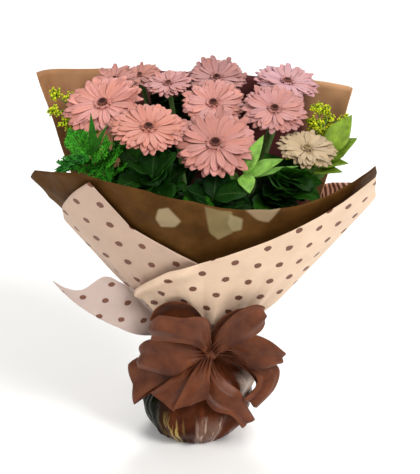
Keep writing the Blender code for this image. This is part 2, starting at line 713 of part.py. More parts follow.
# Leafy stems: leaves, first and last place along the stem, length, half width, outline, arch, fold, rise
LEAFY = {
    "leafy_stem_right": (4, 0.50, 0.80, 0.044, 0.0130, PLAIN_LEAF, 0.16, 0.30, 30),
    "dark_leaves_left": (13, 0.56, 1.0, 0.054, 0.0210, ROUND_LEAF, 0.25, 0.22, 38),
    "dark_leaves_centre": (14, 0.54, 1.0, 0.050, 0.0210, ROUND_LEAF, 0.25, 0.22, 38),
    "dark_leaves_right": (13, 0.55, 1.0, 0.054, 0.0210, ROUND_LEAF, 0.25, 0.22, 38),
    "light_leaves": (2, 0.60, 0.85, 0.040, 0.0100, PLAIN_LEAF, 0.12, 0.35, 38),
    "dark_leaves_back": (8, 0.55, 1.0, 0.050, 0.0180, ROUND_LEAF, 0.20, 0.22, 28),
    "fern_left": (13, 0.56, 1.0, 0.052, 0.0180, CUT_FROND, 0.30, 0.20, 30),
}
# Single leaves that stand out: stem, place along it, leaf tip, half width
SHOWN_LEAVES = (
    ("light_leaves", 0.98, (0.070, -0.066, 0.376), 0.0085),
    ("light_leaves", 0.96, (0.089, -0.080, 0.357), 0.0100),
    ("light_leaves", 0.99, (0.057, -0.100, 0.327), 0.0100),
    ("light_leaves", 0.95, (0.106, -0.078, 0.350), 0.0045),
    ("leafy_stem_right", 0.95, (0.166, -0.004, 0.379), 0.0150),
    ("leafy_stem_right", 0.90, (0.170, -0.020, 0.359), 0.0140),
    ("leafy_stem_right", 0.78, (0.161, -0.040, 0.338), 0.0090),
    ("leafy_stem_right", 0.66, (0.153, -0.052, 0.326), 0.0090),
    ("dark_leaves_left", 0.90, (-0.090, -0.052, 0.338), 0.0170),
    ("dark_leaves_left", 0.98, (-0.078, -0.046, 0.354), 0.0160),
    ("dark_leaves_left", 0.84, (-0.098, -0.060, 0.320), 0.0160),
    ("dark_leaves_right", 0.95, (0.075, -0.040, 0.350), 0.0160),
    ("dark_leaves_right", 0.88, (0.108, -0.036, 0.344), 0.0160),
)


def grow_leaves(stem, path, thicket, mat):
    count, first, last, length, half, outline, arch, fold, rise = LEAFY[stem.name]
    leaves = []
    for name, share, tip, width in SHOWN_LEAVES:
        if name == stem.name:
            root = point_on(path, share)
            reach = Vector(tip) - root
            bm = blade(root, reach, Vector((0, -0.5, 0.8)), reach.length, width, PLAIN_LEAF, 0.10, 0.25)
            leaves += keep_if_clear(bm, stem, thicket, mat)
    for k in range(count):
        share = first + (last - first) * k / (count - 1)
        size = 1 - 0.25 * k / (count - 1)
        lift = rise + 16 * math.sin(2.4 * k)
        for attempt in range(6):
            turn = GOLDEN_ANGLE * (k + 0.31 * attempt)
            root, along, up = leaf_place(path, share, turn, math.radians(lift + 5 * attempt))
            bm = blade(root, along, up, length * size, half * size, outline, arch, fold)
            grown = keep_if_clear(bm, stem, thicket, mat)
            leaves += grown
            if grown:
                break
    combine(stem, leaves, "UNION")


def keep_if_clear(bm, stem, thicket, mat):
    if thicket.is_clear(bm, stem.name):
        return [add_object("leaf", bm, mat)]
    bm.free()
    return []


def grow_blossoms(stem, path, thicket, mat, seed):
    """Tiny round blossoms on fine twigs round the stem's tip."""
    rng = random.Random(seed)
    parts = []
    count = 15
    for k in range(count):
        share = 0.72 + 0.28 * k / (count - 1)
        root, along, _ = leaf_place(path, share, GOLDEN_ANGLE * k, math.radians(rng.uniform(25, 60)))
        tip = root + along * rng.uniform(0.012, 0.030)
        bud = lathe(((0, -0.0045, 0, 0), (0.0056, 0, 0, 0), (0, 0.0045, 0, 0)), 5)
        bmesh.ops.transform(bud, verts=bud.verts, matrix=Matrix.Translation(tip))
        twig = tube([root - along * 0.0006, tip], [0.0008, 0.0006], 3)
        if thicket.is_clear(bud, stem.name) and thicket.is_clear(twig, stem.name):
            parts.append(add_object("twig", twig, mat))
            parts.append(add_object("bud", bud, mat))
        else:
            bud.free()
            twig.free()
    combine(stem, parts, "UNION")


def make_greenery(slots):
    leaf_dark = paint("leaf_dark", (0.008, 0.020, 0.004), 0.5)
    filler = paint("filler", (0.25, 0.22, 0.012), 0.7)
    paints = {
        "leafy_stem_right": paint("leaf_mid", (0.13, 0.21, 0.012), 0.5),
        "light_leaves": paint("leaf_light", (0.11, 0.25, 0.03), 0.5),
        "fern_left": paint("fern", (0.015, 0.12, 0.008), 0.6),
        "filler_left": filler,
        "filler_right": filler,
    }
    paths = {}
    for name, (tip, growth) in STEM_TIPS.items():
        path = stem_path(slots[name], Vector(tip), growth, 0.035)
        radii = [TWIG_RADIUS] * (len(path) - 1) + [TWIG_RADIUS * 0.6]
        add_object(name, tube(path, radii, 4), paints.get(name, leaf_dark))
        paths[name] = path
    thicket = Thicket()
    for obj in bpy.context.scene.objects:
        thicket.add(obj)
    dark_last = sorted(paths, key=lambda name: name.startswith("dark"))
    for number, name in enumerate(dark_last):
        path = paths[name]
        stem = bpy.data.objects[name]
        if name.startswith("filler"):
            grow_blossoms(stem, path, thicket, filler, number)
        else:
            grow_leaves(stem, path, thicket, paints.get(name, leaf_dark))
        thicket.add(stem)


def stem_slots():
    """Places the stems on a spiral in the bundle. Pairs trade places until no trade brings the stems nearer
    to the way to their heads, so that they don't cross."""
    heads = {name: Vector(centre[:2]) for name, (centre, _, _) in BLOOMS.items()}
    heads.update({name: Vector(tip[:2]) for name, (tip, _) in STEM_TIPS.items()})
    neck = Vector((NECK_X, 0))
    widest = max((head - neck).length for head in heads.values())
    bundle = SPIRAL_STEP * math.sqrt(len(heads))
    aims = {name: neck + (head - neck) * bundle / widest for name, head in heads.items()}
    slots = {}
    for i, name in enumerate(heads):
        angle = GOLDEN_ANGLE * i
        slots[name] = neck + Vector((math.cos(angle), math.sin(angle))) * SPIRAL_STEP * math.sqrt(i + 0.5)
    traded = True
    while traded:
        traded = False
        for a, b in itertools.combinations(heads, 2):
            now = (slots[a] - aims[a]).length_squared + (slots[b] - aims[b]).length_squared
            other = (slots[b] - aims[a]).length_squared + (slots[a] - aims[b]).length_squared
            if other < now - 1e-12:
                slots[a], slots[b] = slots[b], slots[a]
                traded = True
    return slots


def main():
    clear_scene()
    slots = stem_slots()
    make_foot([(slot, STEM_RADIUS if name in BLOOMS else TWIG_RADIUS) for name, slot in slots.items()])
    make_sheets()
    make_ribbon()
    make_blooms(slots)
    make_greenery(slots)


main()
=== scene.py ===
import math
import random

import bmesh
import bpy
from mathutils import Matrix, Vector, noise
from mathutils.bvhtree import BVHTree


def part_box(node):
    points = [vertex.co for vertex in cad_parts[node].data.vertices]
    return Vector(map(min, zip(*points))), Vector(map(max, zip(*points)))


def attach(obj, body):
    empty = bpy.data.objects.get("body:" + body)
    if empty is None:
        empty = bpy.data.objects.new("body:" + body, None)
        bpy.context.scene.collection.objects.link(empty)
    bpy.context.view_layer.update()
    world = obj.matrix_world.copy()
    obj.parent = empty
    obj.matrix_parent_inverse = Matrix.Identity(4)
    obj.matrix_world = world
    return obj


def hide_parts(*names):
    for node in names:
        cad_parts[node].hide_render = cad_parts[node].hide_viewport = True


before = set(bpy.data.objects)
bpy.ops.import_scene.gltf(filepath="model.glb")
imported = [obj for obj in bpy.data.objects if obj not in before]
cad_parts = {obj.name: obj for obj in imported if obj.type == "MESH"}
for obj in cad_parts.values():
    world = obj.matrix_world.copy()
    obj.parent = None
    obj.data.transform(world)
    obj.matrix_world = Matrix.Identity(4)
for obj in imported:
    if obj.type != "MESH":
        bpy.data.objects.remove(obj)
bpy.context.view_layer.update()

# ------------------------------------------------------------
# The table: a wide sheet of matt white board that the bouquet stands on, lit by a pale room and three
# large soft lamps, and seen from a little above through a long lens.
FLOOR_HALF = 6.0
LOOK_AT = Vector((0.0165, 0.0, 0.2364))
CAMERA_RISE = math.radians(22)
CAMERA_DISTANCE = 1.7
METRES_PER_PIXEL = 0.0011
PICTURE_HEIGHT = 474
SENSOR = 36.0


def feed(tree, node, inputs):
    """Links or sets a shader node's inputs."""
    for key, value in inputs.items():
        if isinstance(value, bpy.types.NodeSocket):
            tree.links.new(value, node.inputs[key])
        else:
            node.inputs[key].default_value = value


def add(tree, kind, inputs=None, **settings):
    """Adds a shader node with its settings and inputs."""
    node = tree.nodes.new("ShaderNode" + kind)
    for key, value in settings.items():
        setattr(node, key, value)
    feed(tree, node, inputs or {})
    return node


def start_material(name, colour, roughness):
    """A material and its Principled shader."""
    mat = bpy.data.materials.new(name)
    mat.use_nodes = True
    shader = mat.node_tree.nodes["Principled BSDF"]
    shader.inputs["Base Color"].default_value = (*colour, 1)
    shader.inputs["Roughness"].default_value = roughness
    mat.diffuse_color = (*colour, 1)
    return mat, mat.node_tree, shader


def show(name, data):
    """A new object in the scene."""
    thing = bpy.data.objects.new(name, data)
    bpy.context.scene.collection.objects.link(thing)
    return thing


def mesh_from(name, bm, mats):
    mesh = bpy.data.meshes.new(name)
    bm.to_mesh(mesh)
    bm.free()
    for mat in mats:
        mesh.materials.append(mat)
    return mesh


board = bmesh.new()
bmesh.ops.create_grid(board, x_segments=1, y_segments=1, size=FLOOR_HALF)
white = start_material("white_board", (0.93, 0.93, 0.92), 0.9)[0]
floor = show("table_board", mesh_from("table_board", board, [white]))

room = bpy.data.worlds.new("pale_room")
room.use_nodes = True
room_tree = room.node_tree
way = add(room_tree, "SeparateXYZ", {"Vector": add(room_tree, "TexCoord").outputs["Generated"]})
wall = add(room_tree, "MapRange", {"Value": way.outputs["X"], "From Min": -0.7, "From Max": 0.5,
                                   "To Min": 0.26, "To Max": 0.60})
feed(room_tree, room_tree.nodes["Background"], {"Color": (1.0, 0.98, 0.95, 1),
                                                "Strength": wall.outputs["Result"]})
bpy.context.scene.world = room
# Lamp: place, size across, watts
LAMPS = (
    ((3.6, -3.9, 4.6), 2.2, 340),
    ((-4.2, -2.8, 3.6), 2.6, 110),
    ((0.3, 3.2, 5.0), 2.6, 160),
)
for place, across, watts in LAMPS:
    lamp = bpy.data.lights.new("soft_lamp", "AREA")
    lamp.size = across
    lamp.energy = watts
    lamp_object = show("soft_lamp", lamp)
    lamp_object.location = place
    lamp_object.rotation_euler = (Vector(place) - LOOK_AT).to_track_quat("Z", "Y").to_euler()

lens = bpy.data.cameras.new("camera")
lens.sensor_width = SENSOR
lens.lens = CAMERA_DISTANCE / METRES_PER_PIXEL / PICTURE_HEIGHT * SENSOR
camera = show("camera", lens)
camera.location = LOOK_AT + Vector((0, -math.cos(CAMERA_RISE), math.sin(CAMERA_RISE))) * CAMERA_DISTANCE
camera.rotation_euler = (math.pi / 2 - CAMERA_RISE, 0, 0)
bpy.context.scene.camera = camera
bpy.context.scene.view_settings.view_transform = "Standard"

# ------------------------------------------------------------
# Film foot: one square of clear brown film, laid round the wet pack, gathered in pleats up to the neck and
# pressed flat underneath, so its sharp folds fan out from the middle of the foot.
FILM_THICKNESS = 0.0005
FOOT_PLEATS = 12
FOOT_SPINS = 288
PROFILE_STEPS = 9
NECK_X = 0.010
# radius, height and pleat depth, from the middle of the underside to the neck
FILM_PROFILE = ((0, 0.0004, 0), (0.030, 0.0004, 0), (0.036, 0.0006, 0), (0.043, 0.003, 0.02),
                (0.057, 0.021, 0.045), (0.060, 0.042, 0.05), (0.053, 0.066, 0.05), (0.036, 0.088, 0.06),
                (0.0192, 0.103, 0.02), (0.0188, 0.117, 0.02))


def smoothstep(x):
    x = min(max(x, 0.0), 1.0)
    return x * x * (3 - 2 * x)


def sharp_wave(x):
    """A zigzag of period 1, from -1 to 1 and back."""
    return 1 - 4 * abs(x % 1 - 0.5)


def through(points, steps):
    """A smooth line through points, steps to a span."""
    points = [Vector(p) for p in points]
    line = []
    for i in range(len(points) - 1):
        before = points[max(i - 1, 0)]
        here, there = points[i], points[i + 1]
        after = points[min(i + 2, len(points) - 1)]
        for k in range(steps):
            t = k / steps
            line.append(0.5 * ((2 * here) + (there - before) * t
                               + (2 * before - 5 * here + 4 * there - after) * t * t
                               + (3 * here - before - 3 * there + after) * t**3))
    return line + [points[-1]]


def on_ring(angle, radius, z):
    return Vector((math.cos(angle) * radius, math.sin(angle) * radius, z))


def finish_piece(name, bm, mats, slot, nodes, thickness=0.0, offset=0.0):
    """Turns a bmesh into a finished piece that stands for CAD nodes."""
    mesh = mesh_from(name, bm, mats)
    mesh.shade_smooth()
    piece = show(name, mesh)
    if thickness:
        wall = piece.modifiers.new("wall", "SOLIDIFY")
        wall.thickness = thickness
        wall.offset = offset
        wall.material_offset = len(mats) - 1
    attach(piece, "root")
    if nodes:
        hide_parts(*nodes)
    return piece


def facets(spot, size):
    """Flat facets that meet in sharp creases: distances to scattered points, near 0 on average."""
    return noise.voronoi(spot / size)[0][0] - 0.45


def film_fold(angle, height):
    """How far the film's small sharp folds stand out, before the pleats."""
    low = 1 - smoothstep(height / 0.035)
    high = smoothstep((height - 0.050) / 0.030)
    drift = noise.noise(on_ring(angle, 3, height * 30))
    fan = sharp_wave(angle * 31 / math.tau + drift * 0.7)
    gather = sharp_wave(angle * 23 / math.tau + height * 9 + drift)
    dent = noise.noise(Vector((math.cos(angle) * 5 + 7, math.sin(angle) * 5, height * 55)))
    crushed = facets(on_ring(angle, 0.058, height * 0.7), 0.021)
    lobe = math.exp(-((angle + 0.30) / 0.45) ** 2 - ((height - 0.081) / 0.015) ** 2)
    side = math.exp(-((abs(angle) - 2.9) / 0.6) ** 2 - ((height - 0.046) / 0.018) ** 2)
    return (0.0010 * fan * (0.25 + low) + 0.0013 * gather * (0.2 + high) + 0.0018 * dent
            - 0.0068 * crushed * (1 - 0.5 * low) + 0.021 * lobe + 0.005 * side)


film_bm = bmesh.new()
profile = through([(radius, height, 0) for radius, height, _ in FILM_PROFILE], PROFILE_STEPS)
outline = [film_bm.verts.new((p.x, 0, p.y)) for p in profile]
for lower, upper in zip(outline, outline[1:]):
    film_bm.edges.new((lower, upper))
bmesh.ops.spin(film_bm, geom=film_bm.verts[:] + film_bm.edges[:], cent=(0, 0, 0), axis=(0, 0, 1),
               angle=math.tau, steps=FOOT_SPINS, use_merge=True)
bmesh.ops.remove_doubles(film_bm, verts=film_bm.verts, dist=1e-6)
depths = through([(h, depth, 0) for _, h, depth in FILM_PROFILE[2:]], 6)
for v in film_bm.verts:
    radius, height = v.co.xy.length, v.co.z
    if radius > 0.034:
        angle = math.atan2(v.co.y, v.co.x)
        nearest = min(depths, key=lambda row: abs(row.x - height))
        ease = smoothstep((height - 0.0006) / 0.006) * (1 - 0.6 * smoothstep((height - 0.095) / 0.01))
        uneven = noise.noise(on_ring(angle, 1.5, 3))
        pleat = nearest.y * (0.55 + 0.8 * uneven) * sharp_wave(FOOT_PLEATS * angle / math.tau + 1.2 * uneven)
        grown = radius * (1 + pleat) + film_fold(angle, height) * ease
        v.co.xy *= grown / radius
        v.co.z = max(v.co.z, 0.0004)
    v.co.x += NECK_X * smoothstep(v.co.z / 0.090)
bmesh.ops.recalc_face_normals(film_bm, faces=film_bm.faces)


def own_place(tree):
    """The object's own coordinates, in metres."""
    return add(tree, "TexCoord").outputs["Object"]


def own_pattern(tree):
    """The place on the flat sheet, leaf or petal, kept in its UV map."""
    return add(tree, "UVMap").outputs["UV"]


def start_group(name, inputs, outputs):
    """A shared effect: a shader group, its input sockets with their usual values, and its output sockets."""
    group = bpy.data.node_groups.new(name, "ShaderNodeTree")
    for label, value in inputs.items():
        kind = "Float" if isinstance(value, float) else ("Vector", "Color")[len(value) - 3]
        socket = group.interface.new_socket(label, in_out="INPUT", socket_type="NodeSocket" + kind)
        socket.default_value = value
    for label, kind in outputs.items():
        group.interface.new_socket(label, in_out="OUTPUT", socket_type="NodeSocket" + kind)
    return group, group.nodes.new("NodeGroupInput").outputs, group.nodes.new("NodeGroupOutput")


def use_group(tree, group, inputs):
    """Places a shared effect in a material, and gives its outputs."""
    return add(tree, "Group", inputs, node_tree=group).outputs


def noise_value(tree, vector, scale, detail=3.0, roughness=0.55):
    return add(tree, "TexNoise", {"Vector": vector, "Scale": scale, "Detail": detail,
                                  "Roughness": roughness}).outputs["Fac"]


def ramp(tree, value, low, high, to_low=0.0, to_high=1.0):
    """Maps low..high to to_low..to_high and holds it there outside."""
    return add(tree, "MapRange", {"Value": value, "From Min": low, "From Max": high, "To Min": to_low,
                                  "To Max": to_high}).outputs["Result"]


def mix_colour(tree, factor, first, second, blend="MIX"):
    """A mix of two colours, each a socket or linear RGB."""
    node = add(tree, "Mix", data_type="RGBA", blend_type=blend)
    for key, value in (("Factor", factor), ("A", first), ("B", second)):
        socket = [s for s in node.inputs if s.name == key and s.enabled][0]
        if isinstance(value, bpy.types.NodeSocket):
            tree.links.new(value, socket)
        else:
            socket.default_value = (*value, 1) if key != "Factor" else value
    return [s for s in node.outputs if s.enabled][0]


def math_node(tree, operation, a, b=0.0):
    return add(tree, "Math", {0: a, 1: b}, operation=operation).outputs[0]


def times(tree, a, b):
    return math_node(tree, "MULTIPLY", a, b)


def vector_math(tree, operation, a, b=(0, 0, 0)):
    kind = "Value" if operation in ("LENGTH", "DOT_PRODUCT") else "Vector"
    return add(tree, "VectorMath", {0: a, 1: b}, operation=operation).outputs[kind]


def relief(tree, strength, distance, height):
    return add(tree, "Bump", {"Strength": strength, "Distance": distance, "Height": height}).outputs["Normal"]


drift_group, g_in, g_out = start_group(
    "tone_drift", {"Vector": (0, 0, 0), "Scale": 20.0, "Light": (1, 1, 1, 1), "Dark": (0, 0, 0, 1)},
    {"Color": "Color", "Fac": "Float"})
cloud = ramp(drift_group, noise_value(drift_group, g_in["Vector"], g_in["Scale"], 4.0, 0.6), 0.32, 0.68)
feed(drift_group, g_out, {"Fac": cloud, "Color": mix_colour(drift_group, cloud, g_in["Dark"], g_in["Light"])})


def drift(tree, vector, scale, light, dark):
    """A cloudy change of tone over a surface: its Color, and as Fac its share of the lighter one."""
    return use_group(tree, drift_group, {"Vector": vector, "Scale": scale, "Light": (*light, 1),
                                         "Dark": (*dark, 1)})


film, tree, shader = start_material("brown_film", (0.055, 0.014, 0.006), 0.14)
place = own_place(tree)
tone = drift(tree, place, 26.0, (0.120, 0.030, 0.010), (0.022, 0.005, 0.002))
split = add(tree, "SeparateXYZ", {"Vector": place}).outputs
around = add(tree, "CombineXYZ", {"X": split["X"], "Y": split["Y"]}).outputs[0]
around = vector_math(tree, "NORMALIZE", around)
rise = add(tree, "CombineXYZ", {"Z": times(tree, split["Z"], 2.0)}).outputs[0]
fan = vector_math(tree, "ADD", around, rise)
# painted highlight: where streaks of reflected light run along the folds
highlight_streak = ramp(tree, noise_value(tree, fan, 16.0), 0.50, 0.60)
colour = tone["Color"]
# Painted highlights: fans of bright streaks along the pressed folds, and a pale patch at the right, are the
# film's reflections painted into its colour: the way each faces and how narrowly, their lower and upper ends,
# how solid they are, and the colour of the painted reflection
for way, narrow, bottom, top, solid, light in (
        ((-0.47, -0.88, 0.0), 0.955, -0.01, 0.040, 0.0, (0.42, 0.30, 0.09)),
        ((0.27, -0.96, 0.0), 0.955, -0.01, 0.040, 0.2, (0.50, 0.36, 0.28)),
        ((0.90, -0.43, 0.0), 0.968, 0.060, 0.081, 0.8, (0.86, 0.72, 0.61))):
    facing = vector_math(tree, "DOT_PRODUCT", around, way)
    window = times(tree, ramp(tree, facing, narrow, narrow + 0.03),
                   ramp(tree, split["Z"], top + 0.006, top - 0.010))
    window = times(tree, window, ramp(tree, split["Z"], bottom - 0.004, bottom + 0.004))
    highlight_strength = math_node(tree, "MAXIMUM", highlight_streak, solid)
    colour = mix_colour(tree, times(tree, highlight_strength, window), colour, light)
# painted shade: towards the left the film is painted nearly black, for the shade and dark reflections it has
# there
colour = mix_colour(tree, ramp(tree, split["X"], -0.024, -0.046), colour, (0.006, 0.007, 0.003))
feed(tree, shader, {
    "Base Color": colour, "Roughness": ramp(tree, tone["Fac"], 0, 1, 0.14, 0.30), "IOR": 1.12,
    "Normal": relief(tree, 0.35, 0.0008, noise_value(tree, fan, 26.0, 4.0)),
    "Coat Weight": 0.025, "Coat IOR": 1.25, "Coat Roughness": 0.06})
finish_piece("film_wrap", film_bm, [film], "film", ["foot_film"], FILM_THICKNESS, -1)

# ------------------------------------------------------------
# Wet pack and tie: a block of green foam that the cut stems are pushed into, and turns of thin twine round
# the bundle just above the wrapping's neck. Both are the solids themselves.
sponge, tree, shader = start_material("wet_foam", (0.050, 0.140, 0.050), 0.9)
place = own_place(tree)
tone = drift(tree, place, 60.0, (0.070, 0.190, 0.070), (0.025, 0.085, 0.030))
pores = add(tree, "TexVoronoi", {"Vector": place, "Scale": 900.0}).outputs["Distance"]
feed(tree, shader, {"Base Color": tone["Color"], "Normal": relief(tree, 0.6, 0.0006, pores)})
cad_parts["water_pack"].material_slots[0].material = sponge

twine, tree, shader = start_material("twine", (0.55, 0.45, 0.25), 0.7)
place = own_place(tree)
turns = add(tree, "TexWave", {"Vector": place, "Scale": 210.0, "Distortion": 1.2, "Detail": 2.0},
            bands_direction="Z").outputs["Fac"]
feed(tree, shader, {"Base Color": mix_colour(tree, turns, (0.22, 0.16, 0.08), (0.52, 0.42, 0.25)),
                    "Normal": relief(tree, 0.8, 0.0005, turns)})
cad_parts["stem_tie"].material_slots[0].material = twine

# ------------------------------------------------------------
# Papers: a kraft sheet behind, a crumpled waxed kraft collar, and three pink papers printed with brown
# dots, all cut from flat sheets and rolled round the stems in one funnel that is gathered at the neck.
PAPER_THICKNESS = 0.0006
NECK_BASE = 0.107
NECK_TOP = 0.128
NECK_RADIUS = 0.0226
NECK_PLEAT = 0.0006
FUNNEL_HEIGHT = 0.188
FUNNEL_RIGHT_REACH = 0.167
FUNNEL_LEFT_REACH = 0.161
FUNNEL_FRONT_REACH = 0.100
LAYER_STEP = 0.0017
LAYER_SPREAD = 0.0028
COLUMN_DEG = 7.5
FINE_COLUMNS = 6
FUNNEL_ROWS = 64
NECK_SHARE = 0.08
APEX = 0.034
SIDE_POWER = 0.8
FRONT_POWER = 0.75
UPRIGHT_STRETCH = 1.27
# Upper edges: degrees from the front towards the right, and height
COLLAR_LIP = ((-120, 0.196), (-97.5, 0.251), (-75, 0.308), (-60, 0.336), (-37.5, 0.349), (-22.5, 0.345),
              (0, 0.323), (15, 0.314), (30, 0.312), (45, 0.320), (60, 0.344), (75, 0.308), (90, 0.292),
              (105, 0.290), (120, 0.282), (135, 0.268))
LEFT_LIP = ((-135, 0.156), (-97.5, 0.216), (-60, 0.284), (-30, 0.343), (-22.5, 0.290), (-15, 0.273),
            (0, 0.246), (15, 0.218), (37.5, 0.156))
RIGHT_LIP = ((-45, 0.196), (-30, 0.216), (-15, 0.237), (0, 0.252), (15, 0.268), (30, 0.287), (45, 0.314),
             (52.5, 0.338), (60, 0.318), (90, 0.256), (127.5, 0.166))


scratch = bpy.data.meshes.new("scratch")


def join_part(bm, part, tone=None):
    """Adds a small bmesh to a piece, in one tone of the colour attribute that leaves and petals share."""
    if tone:
        layer = part.verts.layers.float_color.new("tone")
        for v in part.verts:
            v[layer] = (*tone, 1)
    part.to_mesh(scratch)
    part.free()
    bm.from_mesh(scratch)


def lay_grid(bm, columns, rows, place, flat=None, tone=None, weld=0.0):
    """Adds a grid and lays it out with place(s, t), s and t from 0 to 1. flat(s, t) is its own pattern
    position, kept in the UV map."""
    part = bmesh.new()
    uv = part.loops.layers.uv.new("flat")
    bmesh.ops.create_grid(part, x_segments=columns, y_segments=rows, size=0.5)
    for v in part.verts:
        spot = (min(max(v.co.x + 0.5, 0), 1), min(max(v.co.y + 0.5, 0), 1))
        mark = flat(*spot) if flat else spot
        for loop in v.link_loops:
            loop[uv].uv = mark
        v.co = place(*spot)
    if weld:
        bmesh.ops.remove_doubles(part, verts=part.verts, dist=weld)
    join_part(bm, part, tone)


def read_table(table, x):
    """Straight-line reading of a short table of (x, y) pairs."""
    if x <= table[0][0]:
        return table[0][1]
    for (x0, y0), (x1, y1) in zip(table, table[1:]):
        if x <= x1:
            return y0 + (y1 - y0) * (x - x0) / (x1 - x0)
    return table[-1][1]


def opening(rise, power):
    """How far the funnel has opened, from 0 at the neck to 1 at the collar's height."""
    start = 0.05
    full = (1 + start) ** power - start**power
    return ((max(rise, 0.0) + start) ** power - start**power) / full


def funnel_point(angle_deg, height, layer, lean=0.0):
    """A point of the wrapping, layer steps outside the collar's own surface, with gathered pleats."""
    rise = (height - NECK_TOP) / FUNNEL_HEIGHT
    angle = math.radians(angle_deg + lean)
    turn = 1 - 2 * abs((angle_deg / COLUMN_DEG) % 2 - 1)
    pleat = turn * (NECK_PLEAT + 0.0022 * smoothstep(rise * 4) * (1 - smoothstep(rise * 1.4)))
    gap = layer * (LAYER_STEP + LAYER_SPREAD * smoothstep(rise * 6))
    side_reach = FUNNEL_LEFT_REACH + (FUNNEL_RIGHT_REACH - FUNNEL_LEFT_REACH) * (1 + math.sin(angle)) / 2
    across = NECK_RADIUS + side_reach * opening(rise, SIDE_POWER) + gap + pleat
    deep = NECK_RADIUS + FUNNEL_FRONT_REACH * opening(rise, FRONT_POWER) + gap + pleat
    return Vector((NECK_X + across * math.sin(angle), -deep * math.cos(angle), height))


def outward(point):
    return Vector((point.x - NECK_X, point.y, 0)).normalized()


def height_on(top, t):
    """Height at share t of the way from the sheet's lower edge to its upper edge."""
    if t < NECK_SHARE:
        return NECK_BASE + (NECK_TOP - NECK_BASE) * t / NECK_SHARE
    return NECK_TOP + (top - NECK_TOP) * ((t - NECK_SHARE) / (1 - NECK_SHARE)) ** 1.4


def paper_points(columns, rows, place):
    """The sheet's points, and where each lies on the flat sheet it was cut from, in metres."""
    points = [[place(i / columns, j / rows) for j in range(rows + 1)] for i in range(columns + 1)]
    slants = []
    for column in points:
        slants.append([0.0])
        for low, high in zip(column, column[1:]):
            slants[-1].append(slants[-1][-1] + (high - low).length)
    middle = rows * 2 // 3
    turns = [0.0]
    for i in range(columns):
        step = (points[i + 1][middle] - points[i][middle]).length
        climb = slants[i + 1][middle] - slants[i][middle]
        arc = math.sqrt(max(step**2 - climb**2, 0.0))
        turns.append(turns[-1] + arc / (APEX + (slants[i][middle] + slants[i + 1][middle]) / 2))
    half = turns[-1] / 2
    flats = [[((APEX + s) * math.sin(turn - half), (APEX + s) * math.cos(turn - half)) for s in column]
             for turn, column in zip(turns, slants)]
    return points, flats


def lay_paper(columns, rows, place, shape, upright=False):
    """A sheet of paper: place gives its smooth form, and shape moves each point by its creases. An upright
    sheet faces the front and leans, so its pattern is laid straight across and up it, stretched upwards."""
    points, flats = paper_points(columns, rows, place)
    if upright:
        flats = [[(p.x, p.z * UPRIGHT_STRETCH) for p in column] for column in points]
    shaped = [[p + shape(i / columns, j / rows, p, flats[i][j]) for j, p in enumerate(column)]
              for i, column in enumerate(points)]
    bm = bmesh.new()
    lay_grid(bm, columns, rows, lambda s, t: shaped[round(s * columns)][round(t * rows)],
             lambda s, t: flats[round(s * columns)][round(t * rows)])
    bmesh.ops.recalc_face_normals(bm, faces=bm.faces)
    if sum(face.normal.dot(outward(face.calc_center_median())) for face in bm.faces) < 0:
        bmesh.ops.reverse_faces(bm, faces=bm.faces)
    return bm


def crumple(flat, size, seed):
    """The facets of a sheet that was crumpled flat."""
    return facets(Vector((flat[0], flat[1], seed * size)), size)


def funnel_paper(first, last, lip, layer, lean, shape):
    columns = round((last - first) / COLUMN_DEG) * FINE_COLUMNS

    def place(s, t):
        angle = first + (last - first) * s
        return funnel_point(angle, height_on(read_table(lip, angle), t), layer, lean * t)

    return lay_paper(columns, FUNNEL_ROWS, place, shape)


DOT_INK = (0.155, 0.060, 0.036)
DOT_SIZE = 0.0082
SMALL_DOT_SIZE = 0.0072
# Printed dots on a square grid, as on spotted wrapping paper
group, g_in, g_out = start_group(
    "printed_dots", {"Flat": (0, 0, 0), "Step": 0.025, "Dot": 0.0068, "Turn": 0.0, "Start": (0, 0, 0)},
    {"Mask": "Float"})
begun = vector_math(group, "SUBTRACT", g_in["Flat"], g_in["Start"])
spot = add(group, "VectorRotate", {"Vector": begun, "Angle": g_in["Turn"]}, rotation_type="Z_AXIS").outputs[0]
ragged = add(group, "TexNoise", {"Vector": spot, "Scale": 320.0, "Detail": 2.0}).outputs["Color"]
ragged = vector_math(group, "SUBTRACT", ragged, (0.5, 0.5, 0.5))
ragged = vector_math(group, "MULTIPLY", ragged, (0.0022, 0.0022, 0.0))
spot = vector_math(group, "ADD", spot, ragged)
cell = add(group, "CombineXYZ", {"X": g_in["Step"], "Y": g_in["Step"], "Z": 1.0}).outputs[0]
grid = vector_math(group, "FRACTION", vector_math(group, "DIVIDE", spot, cell))
grid = vector_math(group, "SUBTRACT", grid, (0.5, 0.5, 0.0))
grid = vector_math(group, "MULTIPLY", grid, cell)
grid = vector_math(group, "MULTIPLY", grid, (1.0, 1.0, 0.0))
reach = math_node(group, "DIVIDE", vector_math(group, "LENGTH", grid), g_in["Dot"])
feed(group, g_out, {"Mask": ramp(group, reach, 0.53, 0.47)})
dots_group = group

# Short fibres and flecks in the paper's face
group, g_in, g_out = start_group("paper_fibre", {"Flat": (0, 0, 0)}, {"Fleck": "Float", "Height": "Float"})
long_fibre = vector_math(group, "MULTIPLY", g_in["Flat"], (1.0, 4.5, 1.0))
fleck = noise_value(group, long_fibre, 420.0, 4.0, 0.7)
soft = noise_value(group, g_in["Flat"], 900.0, 2.0)
feed(group, g_out, {"Fleck": ramp(group, fleck, 0.35, 0.65),
                    "Height": math_node(group, "ADD", fleck, times(group, soft, 0.5))})
fibre_group = group


